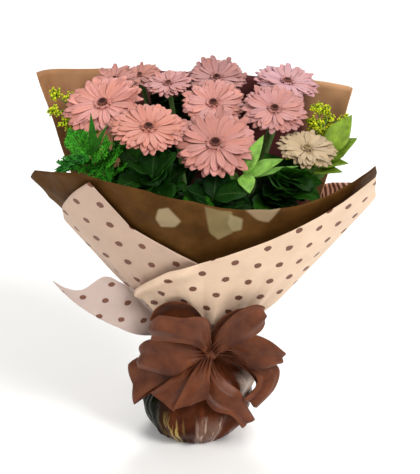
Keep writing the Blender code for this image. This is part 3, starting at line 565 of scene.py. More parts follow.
def paper_material(name, light, dark, roughness, coat, dots=None):
    """Paper with cloudy tone and fibres, and with printed dots where dots gives their step, size, turn and
    start. It gives the material, its tree, shader and colour."""
    mat, tree, shader = start_material(name, light, roughness)
    flat = own_pattern(tree)
    tone = drift(tree, flat, 24.0, light, dark)
    fibre = use_group(tree, fibre_group, {"Flat": flat})
    colour = mix_colour(tree, times(tree, fibre["Fleck"], 0.10), tone["Color"], dark)
    if dots:
        step, size, turn, start = dots
        printed = use_group(tree, dots_group, {"Flat": flat, "Step": step, "Dot": size, "Turn": turn,
                                               "Start": (*start, 0)})
        colour = mix_colour(tree, printed["Mask"], colour, DOT_INK)
    feed(tree, shader, {
        "Base Color": colour, "Normal": relief(tree, 0.25, 0.0003, fibre["Height"]),
        "Roughness": ramp(tree, tone["Fac"], 0, 1, roughness - 0.06, roughness + 0.06),
        "Specular IOR Level": 0.25, "Coat Weight": coat, "Coat Roughness": 0.22})
    return mat, tree, shader, colour


BACK_COLUMNS = 144
BACK_HEIGHT = 0.389
BACK_REACH = 0.150
BACK_DEPTH = 0.050
BACK_LEAN = 0.056


def back_place(s, t):
    """The sheet behind the blooms: inside the collar low down, spread like a fan above it."""
    angle_deg = 90 + 180 * s
    angle = math.radians(angle_deg)
    top = BACK_HEIGHT + 0.018 * smoothstep(s * 1.4 - 0.4) - 0.006 * math.sin(math.pi * s)
    height = height_on(top, t)
    rise = max(height - NECK_TOP, 0.0) / (top - NECK_TOP)
    low = funnel_point(angle_deg, height, -1)
    wide = NECK_RADIUS + BACK_REACH * math.sqrt(rise)
    deep = NECK_RADIUS + BACK_DEPTH * rise**0.75 + 0.0016 * math.sin(9 * angle)
    high = Vector((NECK_X * (1 - rise) + wide * math.sin(angle), BACK_LEAN * rise - deep * math.cos(angle),
                   height))
    return low.lerp(high, smoothstep((height - 0.190) / 0.07))


def back_crease(s, t, point, flat):
    soft = crumple(flat, 0.070, 3.0) * 0.0045 + crumple(flat, 0.030, 5.0) * 0.0012
    return outward(point) * soft * smoothstep(t * 4 - 0.8)


kraft, tree, shader, kraft_colour = paper_material("kraft_paper", (0.36, 0.175, 0.075), (0.25, 0.110, 0.042),
                                            0.58, 0.0)
# painted shade: its middle, behind the blooms, is painted deep red-brown for the shade that falls there
across = add(tree, "SeparateXYZ", {"Vector": own_place(tree)}).outputs["X"]
painted_shade_middle = times(tree, ramp(tree, across, -0.086, -0.079), ramp(tree, across, 0.137, 0.118))
# painted light: its right part is painted lighter, where light falls on it
kraft_colour = mix_colour(tree, ramp(tree, across, 0.110, 0.140), kraft_colour, (0.62, 0.33, 0.16))
feed(tree, shader, {"Base Color": mix_colour(tree, painted_shade_middle, kraft_colour, (0.085, 0.016, 0.016))})
back_bm = lay_paper(BACK_COLUMNS, FUNNEL_ROWS, back_place, back_crease)
finish_piece("kraft_sheet_back", back_bm, [kraft], "kraft_paper", ["kraft_back"], PAPER_THICKNESS)


COLLAR_ENDS = (-120, 135)


def collar_crease(s, t, point, flat):
    """Shallow under the dotted papers, deep and faceted where the collar is free above them."""
    angle = COLLAR_ENDS[0] + (COLLAR_ENDS[1] - COLLAR_ENDS[0]) * s
    cover = max(read_table(LEFT_LIP, angle) if angle < 33 else 0.0,
                read_table(RIGHT_LIP, angle) if angle > -40 else 0.0)
    free = smoothstep((point.z - cover - 0.004) / 0.03)
    folds = crumple(flat, 0.036, 1.0) + 0.30 * crumple(flat, 0.016, 2.0)
    return outward(point) * folds * (0.0009 + 0.0085 * free) * smoothstep(t * 3)


waxed, tree, shader, colour = paper_material("waxed_kraft", (0.112, 0.049, 0.012), (0.052, 0.021, 0.004),
                                             0.5, 0.01)
# Painted highlights: creased facets of the collar painted pale for the light they catch: corners across and
# up the front, clockwise, and colour
PAINTED_HIGHLIGHT_FACETS = (
    (((-0.038, 0.304), (-0.035, 0.315), (-0.026, 0.317), (-0.014, 0.301), (-0.020, 0.293), (-0.033, 0.293)),
     (0.34, 0.26, 0.15)),
    (((0.012, 0.318), (0.038, 0.313), (0.039, 0.284), (0.025, 0.277), (0.017, 0.285)), (0.22, 0.165, 0.075)),
    (((0.035, 0.297), (0.037, 0.309), (0.049, 0.302), (0.048, 0.288), (0.040, 0.286)), (0.30, 0.24, 0.125)),
    (((0.054, 0.313), (0.089, 0.315), (0.076, 0.297), (0.065, 0.301)), (0.28, 0.20, 0.115)),
)
place = own_place(tree)
deep = add(tree, "SeparateXYZ", {"Vector": place}).outputs["Y"]
# each facet is a painted highlight laid over the collar's colour
for corners, light in PAINTED_HIGHLIGHT_FACETS:
    highlight_mask = ramp(tree, deep, -0.02, -0.04)
    for (x0, z0), (x1, z1) in zip(corners, corners[1:] + corners[:1]):
        inward = Vector((z1 - z0, 0, x0 - x1)).normalized()
        limit = inward.dot((x0, 0, z0))
        reach = vector_math(tree, "DOT_PRODUCT", place, inward)
        highlight_mask = times(tree, highlight_mask, ramp(tree, reach, limit - 0.002, limit + 0.0005))
    colour = mix_colour(tree, times(tree, highlight_mask, 0.85), colour, light)
feed(tree, shader, {"Base Color": colour, "Specular IOR Level": 0.03})
lining, tree, shader = start_material("striped_lining", (0.10, 0.045, 0.02), 0.5)
flat = own_pattern(tree)
slanted = add(tree, "VectorRotate", {"Vector": flat, "Angle": 2.07}, rotation_type="Z_AXIS").outputs[0]
bands = add(tree, "TexWave", {"Vector": slanted, "Scale": 52.0, "Distortion": 0.8,
                              "Detail": 1.0}).outputs["Fac"]
feed(tree, shader, {"Base Color": mix_colour(tree, ramp(tree, bands, 0.50, 0.62), (0.085, 0.030, 0.013),
                                             (0.62, 0.34, 0.25))})
collar_bm = funnel_paper(*COLLAR_ENDS, COLLAR_LIP, 0, -2, collar_crease)
finish_piece("kraft_sheet_collar", collar_bm, [waxed, lining], "kraft_collar", ["kraft_collar"],
             PAPER_THICKNESS)


def dotted_crease(s, t, point, flat):
    """The dotted papers are nearly smooth, and spring out a little along their upper edges."""
    soft = crumple(flat, 0.090, 7.0) * 0.0020 + noise.noise(Vector((flat[0] * 22, flat[1] * 22, 4))) * 0.0008
    return outward(point) * (soft * smoothstep(t * 4 - 0.8) + 0.004 * max(t - 0.6, 0.0))


def rolled_edge(s, t, point, flat):
    """The right paper's upper left edge is rolled outwards."""
    roll = smoothstep((0.26 - s) / 0.06) * math.exp(-((t - 0.95) / 0.04) ** 2)
    return dotted_crease(s, t, point, flat) + outward(point) * 0.0055 * roll


# Each sheet: its ends, upper edge, layer, lean and creases, the step, turn and start of its dots, and its
# colour, in which light and shade are painted: the right sheet lighter where light falls on it, the left
# darker in shade
for side, limits, lip, layer, lean, shape, step, turn, start, paper in (
        ("left", (-135, 37.5), LEFT_LIP, 1, -3, dotted_crease, 0.0290, 0.227, (0.0128, 0.0002),
         (0.57, 0.40, 0.30)),
        ("right", (-45, 127.5), RIGHT_LIP, 3, 0, rolled_edge, 0.0266, -0.016, (-0.0347, 0.1849),
         (0.77, 0.56, 0.40))):
    dotted = paper_material("dotted_paper_" + side, paper, [c * 0.86 for c in paper], 0.55, 0.05,
                            (step, DOT_SIZE, turn, start))[0]
    finish_piece("dotted_sheet_" + side, funnel_paper(*limits, lip, layer, lean, shape), [dotted],
                 "dotted_paper", ["dotted_paper_" + side], PAPER_THICKNESS)

# The third dotted paper: tucked in at the neck, its free corner stands out at the lower left
TUCKED = ((0, 0, 0.156), (-7.5, 0, 0.164), (-15, 0, 0.172), (-22.5, 0, 0.180), (-30, 0, 0.188),
          (-37.5, 0.006, 0.193), (-45, 0.014, 0.195), (-52.5, 0.020, 0.196))
FREE_EDGES = (
    ((-0.058, -0.046, 0.139), (-0.080, -0.052, 0.205)),
    ((-0.086, -0.053, 0.153), (-0.097, -0.058, 0.214)),
    ((-0.108, -0.057, 0.167), (-0.120, -0.061, 0.200)),
    ((-0.131, -0.060, 0.186), (-0.137, -0.062, 0.202)),
    ((-0.150, -0.060, 0.207), (-0.152, -0.060, 0.210)),
)


def tail_columns():
    columns = []
    for angle, base, top in TUCKED:
        heights = [NECK_BASE + base, NECK_TOP]
        heights += [NECK_TOP + (top - NECK_TOP) * (i / 3) ** 1.5 for i in (1, 2, 3)]
        columns.append([funnel_point(angle, height, 2) for height in heights])
    for low, high in FREE_EDGES:
        columns.append([Vector(low).lerp(Vector(high), i / 4) for i in range(5)])
    return columns


TAIL_STEPS = 8
tail_rows = [through([column[j] for column in tail_columns()], TAIL_STEPS) for j in range(5)]
tail_net = [through([row[i] for row in tail_rows], TAIL_STEPS) for i in range(len(tail_rows[0]))]
across, up = len(tail_net) - 1, len(tail_net[0]) - 1
tail_bm = lay_paper(across, up, lambda s, t: tail_net[round(s * across)][round(t * up)],
                    lambda s, t, point, flat: Vector((0, -0.0012, 0)) * crumple(flat, 0.06, 9.0), True)
# painted shade: the tail's colour is painted darker than the right sheet's, for how it lies to the light
dotted = paper_material("dotted_paper_tail", (0.53, 0.41, 0.36), (0.46, 0.35, 0.31), 0.55, 0.05,
                        (0.0246, SMALL_DOT_SIZE, 0.29, (-0.0881, 0.2200)))[0]
finish_piece("dotted_sheet_tail", tail_bm, [dotted], "dotted_paper", ["dotted_paper_tail"], PAPER_THICKNESS)

# ------------------------------------------------------------
# Satin ribbon: a wide brown band drawn tight round the gathered neck, knotted in front, with six broad
# loops and three tails that fan out over the film foot. It is woven satin with a fine lengthwise grain.
RIBBON_WIDTH = 0.042
RIBBON_THICKNESS = 0.0006
KNOT = Vector((0.016, -0.0440, 0.119))
KNOT_SIZE = (0.011, 0.0125, 0.010)
STRIP_COLUMNS = 28
STRIP_STEPS = 7
MILLIMETRE = 0.001
# Runs of ribbon from the knot and, in the loops, back to it, in millimetres: at each section a point of its
# left and of its right edge, and how far it swells to the front
STRIPS = (
    # upper left loop
    ((18, -50, 123, 14, -50, 115, 0), (14, -85, 176, 4, -72, 136, 2), (-14, -98, 184, -9, -84, 147, 3),
     (-36, -96, 186, -36, -83, 150, 3), (-47, -86, 175, -47, -78, 150, 0), (-41, -76, 185, -38, -68, 151, -2),
     (-23, -84, 197, -18, -70, 160, -2), (-2, -82, 190, 0, -62, 153, 0), (13, -66, 160, 10, -48, 128, 0),
     (18, -40, 123, 14, -40, 115, 0)),
    # upper right loop
    ((14, -50, 123, 18, -50, 115, 0), (29, -76, 164, 39, -62, 132, 2), (46, -93, 189, 60, -77, 150, 3),
     (64, -95, 198, 72, -81, 162, 2), (75, -86, 191, 75, -80, 171, 0), (67, -70, 184, 67, -60, 154, -2),
     (44, -78, 184, 47, -56, 145, -2), (23, -71, 165, 26, -48, 130, 0), (14, -42, 123, 18, -42, 115, 0)),
    # middle left loop
    ((18, -48, 123, 14, -48, 115, 0), (-1, -60, 136, -5, -62, 109, 3), (-29, -66, 145, -23, -64, 98, 4),
     (-51, -62, 141, -47, -60, 102, 3), (-61, -52, 128, -63, -52, 103, 0), (-50, -40, 125, -52, -44, 100, -1),
     (-19, -40, 123, -19, -44, 105, 0), (18, -40, 123, 14, -40, 115, 0)),
    # middle right loop
    ((14, -52, 123, 18, -52, 115, 0), (38, -52, 138, 38, -46, 120, 1), (60, -62, 148, 59, -52, 103, 4),
     (80, -62, 141, 78, -57, 104, 3), (96, -58, 126, 92, -54, 108, 0), (98, -50, 119, 94, -46, 104, 0),
     (78, -42, 121, 74, -40, 101, -1), (48, -37, 123, 48, -37, 109, 0), (14, -42, 123, 18, -42, 115, 0)),
    # low left loop
    ((18, -45, 123, 14, -45, 115, 0), (-12, -38, 114, -10, -44, 100, 1), (-39, -32, 112, -32, -44, 83, 2),
     (-64, -30, 104, -53, -38, 65, 2), (-75, -28, 93, -69, -34, 47, 0), (-62, -18, 87, -58, -24, 50, -1),
     (-36, -22, 97, -33, -34, 75, 0), (-9, -33, 110, -9, -36, 100, 0), (18, -40, 123, 14, -40, 115, 0)),
    # low right loop
    ((14, -46, 123, 18, -46, 115, 0), (45, -35, 118, 42, -38, 107, 0), (74, -38, 107, 61, -42, 94, 2),
     (93, -40, 96, 69, -47, 84, 3), (89, -42, 72, 64, -51, 73, 3), (70, -48, 52, 54, -57, 66, 0),
     (71, -41, 50, 55, -49, 63, 0), (77, -35, 57, 62, -41, 66, 0), (83, -31, 71, 68, -36, 74, 0),
     (68, -30, 94, 58, -33, 88, 0), (43, -31, 109, 40, -33, 101, 0), (14, -39, 123, 18, -39, 115, 0)),
    # centre tail
    ((12, -50, 118, 20, -50, 118, 0), (2, -61, 109, 18, -58, 110, 0), (-12, -72, 88, 16, -66, 89, 1),
     (-25, -77, 62, 15, -70, 73, 0)),
    # second tail
    ((12, -48, 120, 18, -48, 118, 0), (-10, -52, 107, 4, -56, 103, 0), (-33, -56, 85, -10, -67, 81, 1),
     (-50, -57, 74, -23, -72, 58, 0)),
    # right tail
    ((19, -44, 120, 14, -44, 116, 0), (21, -44, 100, 10, -50, 93, 1), (35, -52, 86, 10, -62, 72, 3),
     (50, -55, 74, 21, -69, 58, 3), (56, -53, 58, 40, -66, 50, 2), (67, -47, 35, 52, -60, 31, 0)),
)


def lay_strip(bm, number, sections):
    """One run of ribbon: pleated where the knot gathers it, with long shallow creases where it is open."""
    left, right = [through([Vector(row[i:i + 3]) * MILLIMETRE for row in sections], STRIP_STEPS)
                   for i in (0, 3)]
    swell = through([(bulge * MILLIMETRE, 0, 0) for *_, bulge in sections], STRIP_STEPS)
    rows = len(left) - 1
    run = [0.0]
    for j in range(rows):
        run.append(run[-1] + ((left[j + 1] + right[j + 1]) - (left[j] + right[j])).length / 2)

    def place(s, t):
        j = round(t * rows)
        before, after = max(j - 1, 0), min(j + 1, rows)
        ahead = left[after] + right[after] - left[before] - right[before]
        across = right[j] - left[j]
        face = ahead.cross(across).normalized()
        w = 2 * s - 1
        gathered = 1 - smoothstep((across.length / RIBBON_WIDTH - 0.25) / 0.55)
        gathered *= 1 - smoothstep((((left[j] + right[j]) / 2 - KNOT).length - 0.020) / 0.030)
        pleat = sharp_wave(w * 2.0 + 0.15 * number) * 0.0026 * gathered
        crease = sharp_wave(w * 0.6 + 0.37 * number + run[j] * 5) * 0.0022 * (1 - gathered) * (1 - w * w)
        front = Vector((0, -1, 0)) * swell[j].x * (1 - abs(w) ** 1.5)
        return left[j].lerp(right[j], s) + face * (pleat + crease) + front

    lay_grid(bm, STRIP_COLUMNS, rows, place, lambda s, t: (s * RIBBON_WIDTH, run[round(t * rows)]))


satin, tree, shader = start_material("satin", (0.118, 0.032, 0.012), 0.40)
flat = own_pattern(tree)
tone = drift(tree, flat, 30.0, (0.196, 0.055, 0.018), (0.062, 0.014, 0.005))
grain = noise_value(tree, vector_math(tree, "MULTIPLY", flat, (2600.0, 60.0, 0.0)), 1.0, 2.0)
feed(tree, shader, {
    "Base Color": mix_colour(tree, times(tree, grain, 0.35), tone["Color"], (0.055, 0.016, 0.008)),
    "Roughness": ramp(tree, grain, 0.3, 0.7, 0.36, 0.48), "Normal": relief(tree, 0.3, 0.0002, grain),
    "Specular IOR Level": 0.2, "Anisotropic": 0.4})

bow_bm = bmesh.new()
for number, sections in enumerate(STRIPS):
    lay_strip(bow_bm, number, sections)
satin_bow = finish_piece("satin_bow", bow_bm, [satin], "satin_ribbon", ["ribbon_bow"], RIBBON_THICKNESS)

knot_bm = bmesh.new()
bmesh.ops.create_uvsphere(knot_bm, u_segments=48, v_segments=24, radius=1, calc_uvs=False)
for v in knot_bm.verts:
    v.co *= 1 + 0.07 * sharp_wave(v.co.x * 1.7 + v.co.z * 0.4) * (1 - abs(v.co.x) ** 3)
    v.co = Vector((v.co.x * KNOT_SIZE[0], v.co.y * KNOT_SIZE[1], v.co.z * KNOT_SIZE[2])) + KNOT
knot_uv = knot_bm.loops.layers.uv.verify()
for face in knot_bm.faces:
    for corner in face.loops:
        corner[knot_uv].uv = (corner.vert.co.x, corner.vert.co.z)
finish_piece("satin_knot", knot_bm, [satin], "satin_ribbon", [])

band_inner = NECK_RADIUS + 3 * LAYER_STEP + NECK_PLEAT + 0.0008
BAND_FOLD = 0.0003


def band_place(s, t):
    """Round the neck, in soft lengthwise folds that waver at the sides."""
    wavering = BAND_FOLD * sharp_wave(t * 3 + 0.3 * math.sin(9 * s * math.tau))
    return Vector((NECK_X + (band_inner + wavering) * math.cos(s * math.tau),
                   (band_inner + BAND_FOLD * sharp_wave(t * 3)) * math.sin(s * math.tau),
                   NECK_BASE + 0.001 + (NECK_TOP - NECK_BASE - 0.003) * t))


band_bm = bmesh.new()
lay_grid(band_bm, 96, 8, band_place, lambda s, t: (t * 0.018, s * math.tau * band_inner))
bmesh.ops.remove_doubles(band_bm, verts=band_bm.verts, dist=1e-5)
bmesh.ops.recalc_face_normals(band_bm, faces=band_bm.faces)
satin_band = finish_piece("satin_band", band_bm, [satin], "satin_ribbon", ["ribbon_band"],
                          RIBBON_THICKNESS, 1)

# ------------------------------------------------------------
# Bloom stalks: smooth green hollow stems, one to each gerbera, that stand in the wet pack, pass through the
# neck and bend out to their blooms, where they swell into the green cup under the petals.
STALK_RADIUS = 0.0024
STALK_BEND = NECK_TOP + 0.007
STALK_PULL = 0.040
CUT_END = 0.020
# The green cup, as shares of the bloom's radius: how deep the stalk's top sits, and the cup's two widths
SEAT_DEPTH = 0.14
CUP_NECK = 0.15
CUP_RIM = 0.168
# Blooms: centre of the petals' seat, the way the bloom faces, radius, share of lavender, share of orange,
# and a factor that darkens its petals' tone
BLOOMS = {
    1: ((-0.097, 0.000, 0.389), (-0.20, -0.42, 0.88), 0.0430, 0.10, 0.05, 0.87),
    2: ((-0.047, -0.055, 0.380), (0.08, -0.38, 0.92), 0.0385, 0.00, 0.30, 0.74),
    3: ((0.022, -0.055, 0.363), (0.00, -0.56, 0.83), 0.0435, 0.15, 0.00, 0.72),
    4: ((0.020, 0.015, 0.385), (0.00, -0.46, 0.88), 0.0345, 0.20, 0.05, 0.81),
    5: ((0.024, 0.077, 0.395), (0.00, -0.42, 0.90), 0.0330, 0.40, 0.00, 0.60),
    6: ((-0.029, 0.053, 0.396), (-0.12, -0.25, 0.96), 0.0265, 0.45, 0.05, 0.76),
    7: ((-0.062, 0.092, 0.394), (-0.20, -0.20, 0.95), 0.0250, 0.10, 0.20, 0.66),
    8: ((0.085, -0.002, 0.384), (0.10, -0.50, 0.86), 0.0345, 0.35, 0.05, 0.69),
    9: ((0.101, 0.058, 0.396), (0.15, -0.20, 0.96), 0.0360, 0.90, 0.05, 0.80),
    10: ((0.118, -0.045, 0.354), (0.12, -0.30, 0.94), 0.0310, 0.0, 0.0, 0.69),
    11: ((-0.088, 0.062, 0.398), (-0.20, -0.30, 0.93), 0.0250, 0.20, 0.15, 0.66),
}
CREAM_BLOOM = 10


def cut_end(node):
    """Where a stem's cut end stands in the pack, read from its solid."""
    spots = [v.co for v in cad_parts[node].data.vertices]
    foot = min(p.z for p in spots)
    low = [p for p in spots if p.z < foot + 0.0005]
    return sum(low, Vector()) / len(low)


stalk_green, tree, shader = start_material("stalk_green", (0.10, 0.20, 0.04), 0.5)
place = own_place(tree)
ridges = noise_value(tree, vector_math(tree, "MULTIPLY", place, (1.0, 1.0, 0.06)), 1500.0)
feed(tree, shader, {"Base Color": drift(tree, place, 40.0, (0.15, 0.27, 0.06), (0.06, 0.14, 0.03))["Color"],
                    "Normal": relief(tree, 0.4, 0.0003, ridges)})
for number, (centre, facing, radius, *_) in BLOOMS.items():
    up = Vector(facing).normalized()
    top = Vector(centre) - up * (SEAT_DEPTH * radius + 0.0003)
    foot = cut_end(f"gerbera_{number}_stem")
    bend = Vector((foot.x, foot.y, STALK_BEND))
    tip = top - up * 0.014
    knots = (
        (foot, foot, bend, 1.0),
        (bend, foot.lerp(bend, 0.7), bend + Vector((0, 0, STALK_PULL)), 1.0),
        (tip, tip - up * STALK_PULL, tip + up * 0.003, 1.15),
        (top - up * 0.006, top - up * 0.008, top - up * 0.004, CUP_NECK * radius / STALK_RADIUS),
        (top, top - up * 0.002, top, CUP_RIM * radius / STALK_RADIUS),
    )
    curve = bpy.data.curves.new(f"stalk_{number}", "CURVE")
    curve.dimensions = "3D"
    curve.bevel_depth = STALK_RADIUS
    curve.bevel_resolution = 3
    curve.use_fill_caps = True
    spline = curve.splines.new("BEZIER")
    spline.bezier_points.add(len(knots) - 1)
    for point, (spot, before, after, width) in zip(spline.bezier_points, knots):
        point.co, point.handle_left, point.handle_right, point.radius = spot, before, after, width
    curve.materials.append(stalk_green)
    stalk = show(f"stalk_{number}", curve)
    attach(stalk, "root")
    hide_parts(f"gerbera_{number}_stem")

# ------------------------------------------------------------
# Greenery: stems of dark broad leaves packed along the front and back, a few light pointed leaves, a stem
# of pointed leaves at the right, bushy fern at the left, and sprays of tiny yellow-green florets.
TWIG_RADIUS = 0.0016
STEM_PULL = 0.035
LEAF_ATTEMPTS = 6
ON_SOLID = 0.0016
FILL_LEAVES = 60
CLEAR_OF_SHEET = 0.0015
LEAF_THICKNESS = 0.0004
SIDEWAYS = Vector((1, 0, 0))
GOLDEN_ANGLE = math.radians(137.508)
PLAIN_LEAF = ((0.0, 0.06), (0.32, 0.86), (0.66, 0.72), (1.0, 0.0))
ROUND_LEAF = ((0.0, 0.06), (0.30, 0.90), (0.68, 0.95), (1.0, 0.0))
CUT_FROND = ((0.0, 0.08), (0.24, 0.90), (0.60, 1.0), (1.0, 0.0))
# Stems: tip, and the way the stem grows there
STEM_TIPS = {
    "fern_left": ((-0.110, -0.050, 0.348), (-0.40, -0.40, 0.82)),
    "filler_left": ((-0.136, 0.014, 0.384), (-0.30, 0.00, 0.95)),
    "filler_right": ((0.142, 0.014, 0.366), (0.40, 0.05, 0.91)),
    "leafy_stem_right": ((0.146, -0.018, 0.344), (0.60, -0.15, 0.79)),
    "light_leaves": ((0.052, -0.072, 0.337), (0.15, -0.35, 0.92)),
    "dark_leaves_left": ((-0.044, -0.080, 0.334), (-0.20, -0.40, 0.89)),
    "dark_leaves_centre": ((0.020, -0.086, 0.316), (0.00, -0.42, 0.90)),
    "dark_leaves_right": ((0.096, -0.070, 0.330), (0.30, -0.35, 0.89)),
    "dark_leaves_back": ((-0.030, 0.098, 0.356), (-0.10, 0.30, 0.94)),
}
# Leaves: count, first and last place along the stem, length, half width, outline, arch, fold, rise
LEAFY = {
    "leafy_stem_right": (4, 0.50, 0.80, 0.044, 0.0130, PLAIN_LEAF, 0.16, 0.30, 30),
    "dark_leaves_left": (13, 0.56, 1.0, 0.054, 0.0210, ROUND_LEAF, 0.25, 0.22, 38),
    "dark_leaves_centre": (14, 0.54, 1.0, 0.050, 0.0210, ROUND_LEAF, 0.25, 0.22, 38),
    "dark_leaves_right": (13, 0.55, 1.0, 0.054, 0.0210, ROUND_LEAF, 0.25, 0.22, 38),
    "light_leaves": (2, 0.60, 0.85, 0.040, 0.0100, PLAIN_LEAF, 0.12, 0.35, 38),
    "dark_leaves_back": (8, 0.55, 1.0, 0.050, 0.0180, ROUND_LEAF, 0.20, 0.22, 28),
    "fern_left": (13, 0.56, 1.0, 0.052, 0.0180, CUT_FROND, 0.30, 0.20, 30),
}
# Single leaves that stand out on a stem: place along it, leaf tip, half width
SHOWN_LEAVES = {
    "light_leaves": (
        (0.98, (0.070, -0.066, 0.376), 0.0085), (0.96, (0.089, -0.080, 0.357), 0.0100),
        (0.99, (0.057, -0.100, 0.327), 0.0100), (0.95, (0.106, -0.078, 0.350), 0.0045)),
    "leafy_stem_right": (
        (0.95, (0.166, -0.004, 0.379), 0.0150), (0.90, (0.170, -0.020, 0.359), 0.0140),
        (0.88, (0.160, -0.040, 0.339), 0.0085), (0.84, (0.153, -0.048, 0.333), 0.0085)),
    "dark_leaves_left": (
        (0.90, (-0.090, -0.052, 0.338), 0.0170), (0.98, (-0.078, -0.046, 0.354), 0.0160),
        (0.84, (-0.098, -0.060, 0.320), 0.0160), (0.99, (-0.086, -0.030, 0.366), 0.0150)),
    "dark_leaves_right": (
        (0.95, (0.075, -0.040, 0.350), 0.0160), (0.88, (0.108, -0.036, 0.344), 0.0160)),
    "fern_left": (
        (0.93, (-0.106, -0.056, 0.394), 0.0050), (0.97, (-0.092, -0.056, 0.384), 0.0035),
        (0.97, (-0.090, -0.062, 0.364), 0.0160), (0.90, (-0.080, -0.066, 0.358), 0.0170),
        (0.82, (-0.074, -0.070, 0.346), 0.0160)),
}
# On the fern a narrower one is a plain leaf, and a wider one a frond
FROND_HALF = 0.010
# Leaf colours, light to dark
LEAF_TONES = {
    "leafy_stem_right": ((0.20, 0.32, 0.020), (0.045, 0.13, 0.008)),
    "light_leaves": ((0.22, 0.44, 0.065), (0.070, 0.22, 0.024)),
    "fern_left": ((0.078, 0.48, 0.018), (0.010, 0.15, 0.005)),
    "dark": ((0.015, 0.082, 0.003), (0.002, 0.018, 0.001)),
}


def stem_path(foot, tip, growth):
    """A stem: straight up from its cut end to the neck, then a bend out to its tip."""
    bend = Vector((foot.x, foot.y, STALK_BEND))
    ahead = bend + Vector((0, 0, STEM_PULL))
    behind = tip - Vector(growth).normalized() * STEM_PULL
    path = [Vector((foot.x, foot.y, CUT_END))]
    for i in range(7):
        t = i / 6
        u = 1 - t
        path.append(bend * u**3 + ahead * (3 * u * u * t) + behind * (3 * u * t * t) + tip * t**3)
    return path


def point_on(path, share):
    position = share * (len(path) - 1)
    i = min(int(position), len(path) - 2)
    return path[i].lerp(path[i + 1], position - i)


def square_to(axis, way):
    """The part of a way that is square to an axis, at length 1."""
    return (way - axis * way.dot(axis)).normalized()


def leaf_place(path, share, turn, rise):
    """A point on a stem, and the way a leaf grows from it: turn about the stem, rise along it."""
    i = min(int(share * (len(path) - 1)), len(path) - 2)
    stem = (path[i + 1] - path[i]).normalized()
    side = square_to(stem, SIDEWAYS)
    across = side * math.cos(turn) + stem.cross(side) * math.sin(turn)
    return (point_on(path, share), across * math.cos(rise) + stem * math.sin(rise),
            stem * math.cos(rise) - across * math.sin(rise))


def solid_of(node):
    """The node's solid, to lay the fine leaves where its leaves are."""
    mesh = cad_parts[node].data
    return BVHTree.FromPolygons([v.co for v in mesh.vertices], [p.vertices for p in mesh.polygons])


def lay_leaf(bm, root, along, up, length, half, widths, arch, fold, tone, wave=0.0, columns=6, rows=11):
    """A leaf with a folded midrib, arched along its length and waved along its edges."""
    along = along.normalized()
    up = square_to(along, up)
    side = along.cross(up)
    edge = [(p.x, p.y) for p in through([(x, y, 0) for x, y in widths], 8)]

    def place(s, t):
        w = 2 * s - 1
        width = half * max(read_table(edge, t), 0.0)
        lift = fold * width * abs(w) ** 1.3 + wave * half * w * w * math.sin(t * 17 + 2 * w)
        return root + along * length * t + side * width * w + up * (lift - arch * length * t * t)

    lay_grid(bm, columns, rows, place, tone=tone, weld=0.00005)


def lay_twig(bm, path, radius, tip_radius, tone, sides=8, rows=24):
    """A round stem along a path."""
    def place(s, t):
        centre = point_on(path, t)
        ahead = (point_on(path, min(t + 0.02, 1)) - point_on(path, max(t - 0.02, 0))).normalized()
        side = square_to(ahead, SIDEWAYS)
        turn = -math.tau * s
        thick = radius + (tip_radius - radius) * t**4
        return centre + (side * math.cos(turn) + ahead.cross(side) * math.sin(turn)) * thick

    lay_grid(bm, sides, rows, place, tone=tone, weld=0.00005)


FROND_RIBS = 11
RIB_SLANT = 0.55
LEAFLETS = 5
LEAFLET_LENGTH = 0.0052
LEAFLET_HALF = 0.0013


def lay_frond(bm, root, along, up, length, half, widths, arch, tone, rng):
    """A fern frond: a fine rib with side ribs, each set with small leaflets."""
    along = along.normalized()
    up = square_to(along, up)
    side = along.cross(up)
    lay_leaf(bm, root, along, up, length, 0.0007, ((0, 1), (1, 0.3)), arch, 0.1, tone, columns=2, rows=8)
    for k in range(FROND_RIBS):
        t = 0.10 + 0.86 * k / (FROND_RIBS - 1)
        seat = root + along * length * t - up * arch * length * t * t
        reach = half * 1.05 * max(read_table(widths, t), 0.12)
        for hand in (-1, 1):
            way = (side * hand * math.cos(RIB_SLANT) + along * math.sin(RIB_SLANT)
                   + up * rng.uniform(-0.1, 0.35)).normalized()
            for m in range(LEAFLETS):
                u = (m + 0.6) / LEAFLETS
                for flip in (-1, 1):
                    grow = (way * 0.6 + way.cross(up) * flip * 0.8 + up * rng.uniform(-0.2, 0.5)).normalized()
                    size = LEAFLET_LENGTH * (1.15 - 0.5 * u) * rng.uniform(0.8, 1.2)
                    shade = rng.uniform(0.55, 1.35)
                    lay_leaf(bm, seat + way * reach * u, grow, up, size, LEAFLET_HALF,
                             ((0, 0.3), (0.5, 1), (1, 0.1)), 0.1, 0.3, [c * shade for c in tone],
                             columns=2, rows=3)


# Veins on a leaf's own UV map: a midrib and slanting side veins
vein_group, g_in, g_out = start_group("leaf_veins", {"UV": (0, 0, 0), "Side veins": 9.0},
                                      {"Mask": "Float", "Height": "Float"})
split = add(vein_group, "SeparateXYZ", {"Vector": g_in["UV"]}).outputs
off = math_node(vein_group, "ABSOLUTE", math_node(vein_group, "SUBTRACT", split["X"], 0.5))
slant = math_node(vein_group, "SUBTRACT", split["Y"], times(vein_group, off, 0.45))
slant = math_node(vein_group, "FRACT", times(vein_group, slant, g_in["Side veins"]))
slant = math_node(vein_group, "ABSOLUTE", math_node(vein_group, "SUBTRACT", slant, 0.5))
branch = times(vein_group, ramp(vein_group, slant, 0.09, 0.02), ramp(vein_group, off, 0.5, 0.2))
midrib = ramp(vein_group, off, 0.045, 0.015)
veins = math_node(vein_group, "MAXIMUM", midrib, times(vein_group, branch, 0.6))
feed(vein_group, g_out, {"Mask": veins, "Height": math_node(vein_group, "SUBTRACT", 0.0, veins)})


def own_tone(tree):
    """The tone that each leaf, petal or floret has been given."""
    return add(tree, "Attribute", attribute_name="tone").outputs["Color"]


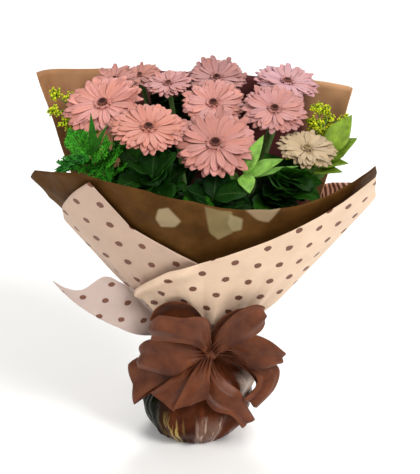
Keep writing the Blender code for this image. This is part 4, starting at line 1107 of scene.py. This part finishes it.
def leaf_material(name, colour, roughness, vein_strength, gloss):
    """Leaves in their own tones, cloudy, with paler veins."""
    mat, tree, shader = start_material(name, colour, roughness)
    veins = use_group(tree, vein_group, {"UV": own_pattern(tree)})
    cloud = drift(tree, own_place(tree), 130.0, (1.25, 1.25, 1.25), (0.65, 0.65, 0.65))
    base = mix_colour(tree, 1.0, own_tone(tree), cloud["Color"], "MULTIPLY")
    pale = mix_colour(tree, 1.0, base, (0.035, 0.055, 0.020), "ADD")
    feed(tree, shader, {
        "Base Color": mix_colour(tree, times(tree, veins["Mask"], vein_strength), base, pale),
        "Roughness": ramp(tree, cloud["Fac"], 0, 1, roughness - 0.08, roughness + 0.1),
        "Normal": relief(tree, 0.5, 0.0006, veins["Height"]), "Specular IOR Level": gloss})
    return mat


dark_leaf = leaf_material("dark_leaf", (0.008, 0.020, 0.004), 0.55, 0.6, 0.08)
mid_leaf = leaf_material("mid_leaf", (0.13, 0.21, 0.012), 0.45, 0.7, 0.3)
light_leaf = leaf_material("light_leaf", (0.11, 0.25, 0.03), 0.45, 0.7, 0.3)
fern_leaf = leaf_material("fern_leaf", (0.015, 0.12, 0.008), 0.5, 0.0, 0.2)
filler_leaf = leaf_material("floret_green", (0.25, 0.22, 0.012), 0.6, 0.0, 0.2)


def grow_leaves(bm, node, path, tones, rng):
    """Lays a fine leaf over each leaf of the node's solid."""
    count, first, last, length, half, outline, arch, fold, rise = LEAFY[node]
    solid = solid_of(node)
    light, dark = tones
    facing = Vector((0, -0.5, 0.8))
    for share, tip, width in SHOWN_LEAVES.get(node, ()):
        root = point_on(path, share)
        way = Vector(tip) - root
        tone = dark.lerp(light, rng.uniform(0.5, 1.0))
        if outline is CUT_FROND and width > FROND_HALF:
            lay_frond(bm, root, way, facing, way.length, width, outline, 0.10, tone, rng)
        else:
            if outline is CUT_FROND:
                tone = tone * 0.35
            lay_leaf(bm, root, way, facing, way.length, width, PLAIN_LEAF, 0.10, 0.25, tone, 0.05)
    for k in range(count):
        share = first + (last - first) * k / (count - 1)
        size = 1 - 0.25 * k / (count - 1)
        lift = rise + 16 * math.sin(2.4 * k)
        for attempt in range(LEAF_ATTEMPTS):
            turn = GOLDEN_ANGLE * (k + 0.31 * attempt)
            root, along, up = leaf_place(path, share, turn, math.radians(lift + 5 * attempt))
            straight = along.normalized()
            level = square_to(straight, up)
            spine = [root + straight * length * size * t - level * arch * length * size * t * t
                     for t in (0.35, 0.6, 0.9)]
            if all(solid.find_nearest(p, ON_SOLID)[0] for p in spine):
                tone = dark.lerp(light, rng.random() ** 1.5)
                if outline is CUT_FROND:
                    lay_frond(bm, root, along, up, length * size, half * size, outline, arch, tone, rng)
                else:
                    lay_leaf(bm, root, along, up, length * size, half * size, outline, arch, fold, tone, 0.09)
                break


def inside_collar(p):
    """Whether a point is within the collar, clear of its creases."""
    rise = (p.z - NECK_TOP) / FUNNEL_HEIGHT
    across = NECK_RADIUS + FUNNEL_LEFT_REACH * opening(rise, SIDE_POWER) - 0.010
    deep = NECK_RADIUS + FUNNEL_FRONT_REACH * opening(rise, FRONT_POWER) - 0.008
    return ((p.x - NECK_X) / across) ** 2 + (p.y / deep) ** 2 < 1


def fill_leaves(bm, node, path, tones, rng):
    """Smaller leaves between the main ones, so that the stem looks as dense as the real one."""
    _, first, last, length, half, outline, arch, fold, rise = LEAFY[node]
    light, dark = tones
    low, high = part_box(node)
    for _ in range(FILL_LEAVES):
        size = rng.uniform(0.5, 0.85)
        root, along, up = leaf_place(path, rng.uniform(first, last), rng.uniform(0, math.tau),
                                     math.radians(rise + rng.uniform(-25, 35)))
        tip = root + along.normalized() * length * size
        if all(a < b < c for a, b, c in zip(low, tip, high)) and inside_collar(tip):
            tone = dark.lerp(light, rng.random() ** 2)
            lay_leaf(bm, root, along, up, length * size, half * size, outline, arch, fold, tone, 0.10)


def press_in(bm, sheet):
    """Leaves that would run through a sheet lie flat against its inner face."""
    wall = solid_of(sheet)
    for v in bm.verts:
        middle = Vector((NECK_X, 0.0, v.co.z))
        way = v.co - middle
        hit = wall.ray_cast(middle, way.normalized(), way.length + CLEAR_OF_SHEET)[0] if way.y > 0 else None
        if hit:
            v.co = hit - way.normalized() * CLEAR_OF_SHEET


def lay_floret(bm, spot, size, tone, rng):
    """A tiny uneven ball."""
    part = bmesh.new()
    part.loops.layers.uv.new("flat")
    bmesh.ops.create_icosphere(part, subdivisions=1, radius=size)
    for v in part.verts:
        v.co = v.co * rng.uniform(0.75, 1.25) + spot
    join_part(bm, part, tone)


CLUSTERS = 15
CLUSTER_FLORETS = 60
FLORET_GREEN = Vector((0.22, 0.34, 0.008))
FLORET_YELLOW = Vector((0.78, 0.80, 0.015))


def grow_florets(bm, node, path, seed, rng):
    """Clusters of tiny florets where the solid has its round blossoms."""
    solid = solid_of(node)
    draws = random.Random(seed)
    for k in range(CLUSTERS):
        share = 0.72 + 0.28 * k / (CLUSTERS - 1)
        root, along, up = leaf_place(path, share, GOLDEN_ANGLE * k, math.radians(draws.uniform(25, 60)))
        tip = root + along * draws.uniform(0.012, 0.030)
        if not solid.find_nearest(tip, 0.0058)[0]:
            continue
        lay_twig(bm, [root, tip], 0.0006, 0.0004, (0.10, 0.16, 0.02), 5, 3)
        for _ in range(CLUSTER_FLORETS):
            way = Vector((rng.gauss(0, 1), rng.gauss(0, 1), rng.gauss(0, 0.8))).normalized()
            spot = tip + way * rng.uniform(0.0022, 0.0080)
            tone = FLORET_GREEN.lerp(FLORET_YELLOW, rng.uniform(0.0, 1.0))
            lay_floret(bm, spot, rng.uniform(0.0007, 0.0014), tone, rng)
            lay_leaf(bm, tip, spot - tip, Vector((0.2, 0.3, 1)), (spot - tip).length, 0.0003,
                     ((0, 1), (1, 1)), 0, 0, (0.12, 0.20, 0.02), columns=1, rows=1)


GREENS = {"leafy_stem_right": (mid_leaf, "leaf_mid"), "light_leaves": (light_leaf, "leaf_light"),
          "fern_left": (fern_leaf, "fern"), "filler_left": (filler_leaf, "filler"),
          "filler_right": (filler_leaf, "filler")}
for number, (node, (tip, growth)) in enumerate(STEM_TIPS.items()):
    rng = random.Random(100 + number)
    path = stem_path(cut_end(node), Vector(tip), growth)
    mat, slot = GREENS.get(node, (dark_leaf, "leaf_dark"))
    tones = [Vector(tone) for tone in LEAF_TONES.get(node, LEAF_TONES["dark"])]
    bm = bmesh.new()
    twig_tone = (0.045, 0.095, 0.015) if slot == "leaf_dark" else (0.10, 0.19, 0.03)
    lay_twig(bm, path, TWIG_RADIUS, TWIG_RADIUS * 0.6, twig_tone)
    if node.startswith("filler"):
        grow_florets(bm, node, path, number, rng)
    else:
        grow_leaves(bm, node, path, tones, rng)
        if node.startswith("dark"):
            fill_leaves(bm, node, path, tones, rng)
            press_in(bm, "kraft_back")
    finish_piece("greens_" + node, bm, [mat], slot, [node], LEAF_THICKNESS)

# ------------------------------------------------------------
# Gerbera blooms: each has three rows of long rounded ray petals and a ring of short ones round a low dark
# eye of tiny florets. Ten are pink, from salmon to lavender, and one is cream.
PINK = Vector((0.68, 0.267, 0.205))
LAVENDER = Vector((0.61, 0.33, 0.37))
ORANGE = Vector((0.80, 0.26, 0.13))
CREAM = Vector((0.62, 0.445, 0.245))
# Rows of petals: share of the large count, start, length, seat height, tip height and half width, as shares
# of the bloom's radius
PETAL_ROWS = (
    (1.0, 0.14, 1.06, -0.105, 0.000, 0.120),
    (1.0, 0.13, 1.01, -0.055, 0.052, 0.116),
    (0.75, 0.12, 0.88, -0.010, 0.085, 0.100),
    (1.0, 0.10, 0.24, 0.020, 0.070, 0.034),
)
PETAL_THICKNESS = 0.0004
EYE_FLORETS = 110
# The eye, as shares of the bloom's radius: its florets' ring, its disc and the size of a floret
EYE_RING = 0.140
EYE_DISC = 0.144
EYE_FLORET = 0.0120
# Eye florets from the middle to the rim
DARK_EYE = (Vector((0.060, 0.010, 0.006)), Vector((0.36, 0.13, 0.09)))
CREAM_EYE = (Vector((0.22, 0.15, 0.05)), Vector((0.42, 0.32, 0.14)))
LARGE_COUNT = 27
SMALL_COUNT = 22
SMALL_BLOOM = 0.030


def facing_frame(centre, facing):
    """A bloom's own frame, with its +Z along the way it faces."""
    up = Vector(facing).normalized()
    side = square_to(up, SIDEWAYS)
    own = Matrix((side, up.cross(side), up)).transposed().to_4x4()
    own.translation = Vector(centre)
    return own


def lay_petal(bm, own, angle, radius, start, length, seat, tip, half, tone, rng):
    """A ray petal: narrow at its seat, broad and rounded near its tip, with two shallow grooves."""
    curl = rng.uniform(-0.05, 0.06) + (rng.uniform(0.06, 0.18) if rng.random() < 0.14 else 0)
    sway = rng.uniform(-0.05, 0.05)
    twist = rng.uniform(-0.25, 0.25)
    notch = rng.uniform(0.0, 0.025)

    def place(s, t):
        w = 2 * s - 1
        reach = start + (length - start) * t * (1 - 0.11 * t**4 * w * w) - notch * t**6 * (1 - abs(w))
        width = half * (0.34 + 0.66 * smoothstep(t / 0.62)) * (1 - 0.34 * smoothstep((t - 0.74) / 0.26))
        level = seat + (tip - seat) * math.sin(t * math.pi / 2) ** 0.9 - 0.030 * t**5 + curl * t**4
        level += 0.014 * w * w + 0.006 * math.cos(3 * math.pi * w) * t + twist * width * w * t
        a = angle + sway * t * t
        spot = Vector((reach * math.cos(a) - width * w * math.sin(a),
                       reach * math.sin(a) + width * w * math.cos(a), level))
        return own @ (spot * radius)

    lay_grid(bm, 6, 9, place, tone=tone)


def petal_material(name, colour, line_colour):
    """Petals in their own tones, with fine lengthwise lines and a darker seat."""
    mat, tree, shader = start_material(name, colour, 0.55)
    split = add(tree, "SeparateXYZ", {"Vector": own_pattern(tree)}).outputs
    drawn_out = {"X": times(tree, split["X"], 7.0), "Y": times(tree, split["Y"], 0.7)}
    drawn_out = add(tree, "CombineXYZ", drawn_out).outputs[0]
    lines = ramp(tree, noise_value(tree, drawn_out, 1.6, 2.0), 0.42, 0.66)
    seat = ramp(tree, split["Y"], 0.35, 0.0)
    depth = math_node(tree, "ADD", times(tree, lines, 0.20), times(tree, seat, 0.10))
    feed(tree, shader, {
        "Base Color": mix_colour(tree, depth, own_tone(tree), line_colour),
        "Roughness": ramp(tree, lines, 0, 1, 0.50, 0.62), "Normal": relief(tree, 0.35, 0.0004, lines),
        "Sheen Weight": 0.1})
    return mat


pink_petal = petal_material("pink_petal", (0.62, 0.29, 0.25), (0.50, 0.155, 0.125))
cream_petal = petal_material("cream_petal", (0.60, 0.44, 0.28), (0.30, 0.19, 0.10))
floret_dark, tree, shader = start_material("eye_florets", (0.09, 0.012, 0.006), 0.7)
feed(tree, shader, {"Base Color": own_tone(tree),
                    "Normal": relief(tree, 0.4, 0.0003, noise_value(tree, own_place(tree), 1800.0))})

for number, (centre, facing, radius, lavender, orange, depth) in BLOOMS.items():
    rng = random.Random(number)
    own = facing_frame(centre, facing)
    bm = bmesh.new()
    most = LARGE_COUNT if radius > SMALL_BLOOM else SMALL_COUNT
    for row, (share, start, length, seat, tip, half) in enumerate(PETAL_ROWS):
        count = round(most * share)
        for k in range(count):
            angle = math.tau * (k + 0.5 * row + rng.uniform(-0.30, 0.30)) / count
            tone = PINK.lerp(LAVENDER, min(max(lavender + rng.uniform(-0.2, 0.2), 0), 1))
            tone = tone.lerp(ORANGE, min(max(orange * (0.4 + 0.25 * row) + rng.uniform(-0.15, 0.15), 0), 1))
            if number == CREAM_BLOOM:
                tone = CREAM * rng.uniform(0.85, 1.1)
            tone = tone * depth * rng.uniform(0.88, 1.10)
            lay_petal(bm, own, angle, radius, start, length * rng.uniform(0.90, 1.03), seat, tip, half, tone,
                      rng)
    petals, slot = (cream_petal, "petals_cream") if number == CREAM_BLOOM else (pink_petal, "petals_pink")
    finish_piece(f"petals_{number}", bm, [petals], slot, [f"gerbera_{number}_petals"], PETAL_THICKNESS)

    bm = bmesh.new()
    inner, outer = CREAM_EYE if number == CREAM_BLOOM else DARK_EYE
    for k in range(EYE_FLORETS):
        out = math.sqrt((k + 0.5) / EYE_FLORETS)
        angle = GOLDEN_ANGLE * k
        level = 0.075 + 0.030 * math.exp(-((out - 0.72) / 0.2) ** 2) - 0.070 * smoothstep((out - 0.80) / 0.25)
        spot = on_ring(angle, EYE_RING * out, level) * radius
        tone = inner.lerp(outer, smoothstep((out - 0.55) / 0.35)) * rng.uniform(0.7, 1.3)
        part = bmesh.new()
        bmesh.ops.create_icosphere(part, subdivisions=1, radius=EYE_FLORET * radius)
        for v in part.verts:
            v.co.z *= 2.4
            v.co = own @ (v.co + spot)
        join_part(bm, part, tone)
    disc = bmesh.new()
    bmesh.ops.create_uvsphere(disc, u_segments=24, v_segments=12, radius=EYE_DISC * radius)
    for v in disc.verts:
        v.co = own @ Vector((v.co.x, v.co.y, max(v.co.z, 0) * 0.42 + 0.0003))
    join_part(bm, disc, (0.05, 0.012, 0.006))
    finish_piece(f"eye_{number}", bm, [floret_dark], "eye", [f"gerbera_{number}_eye"])
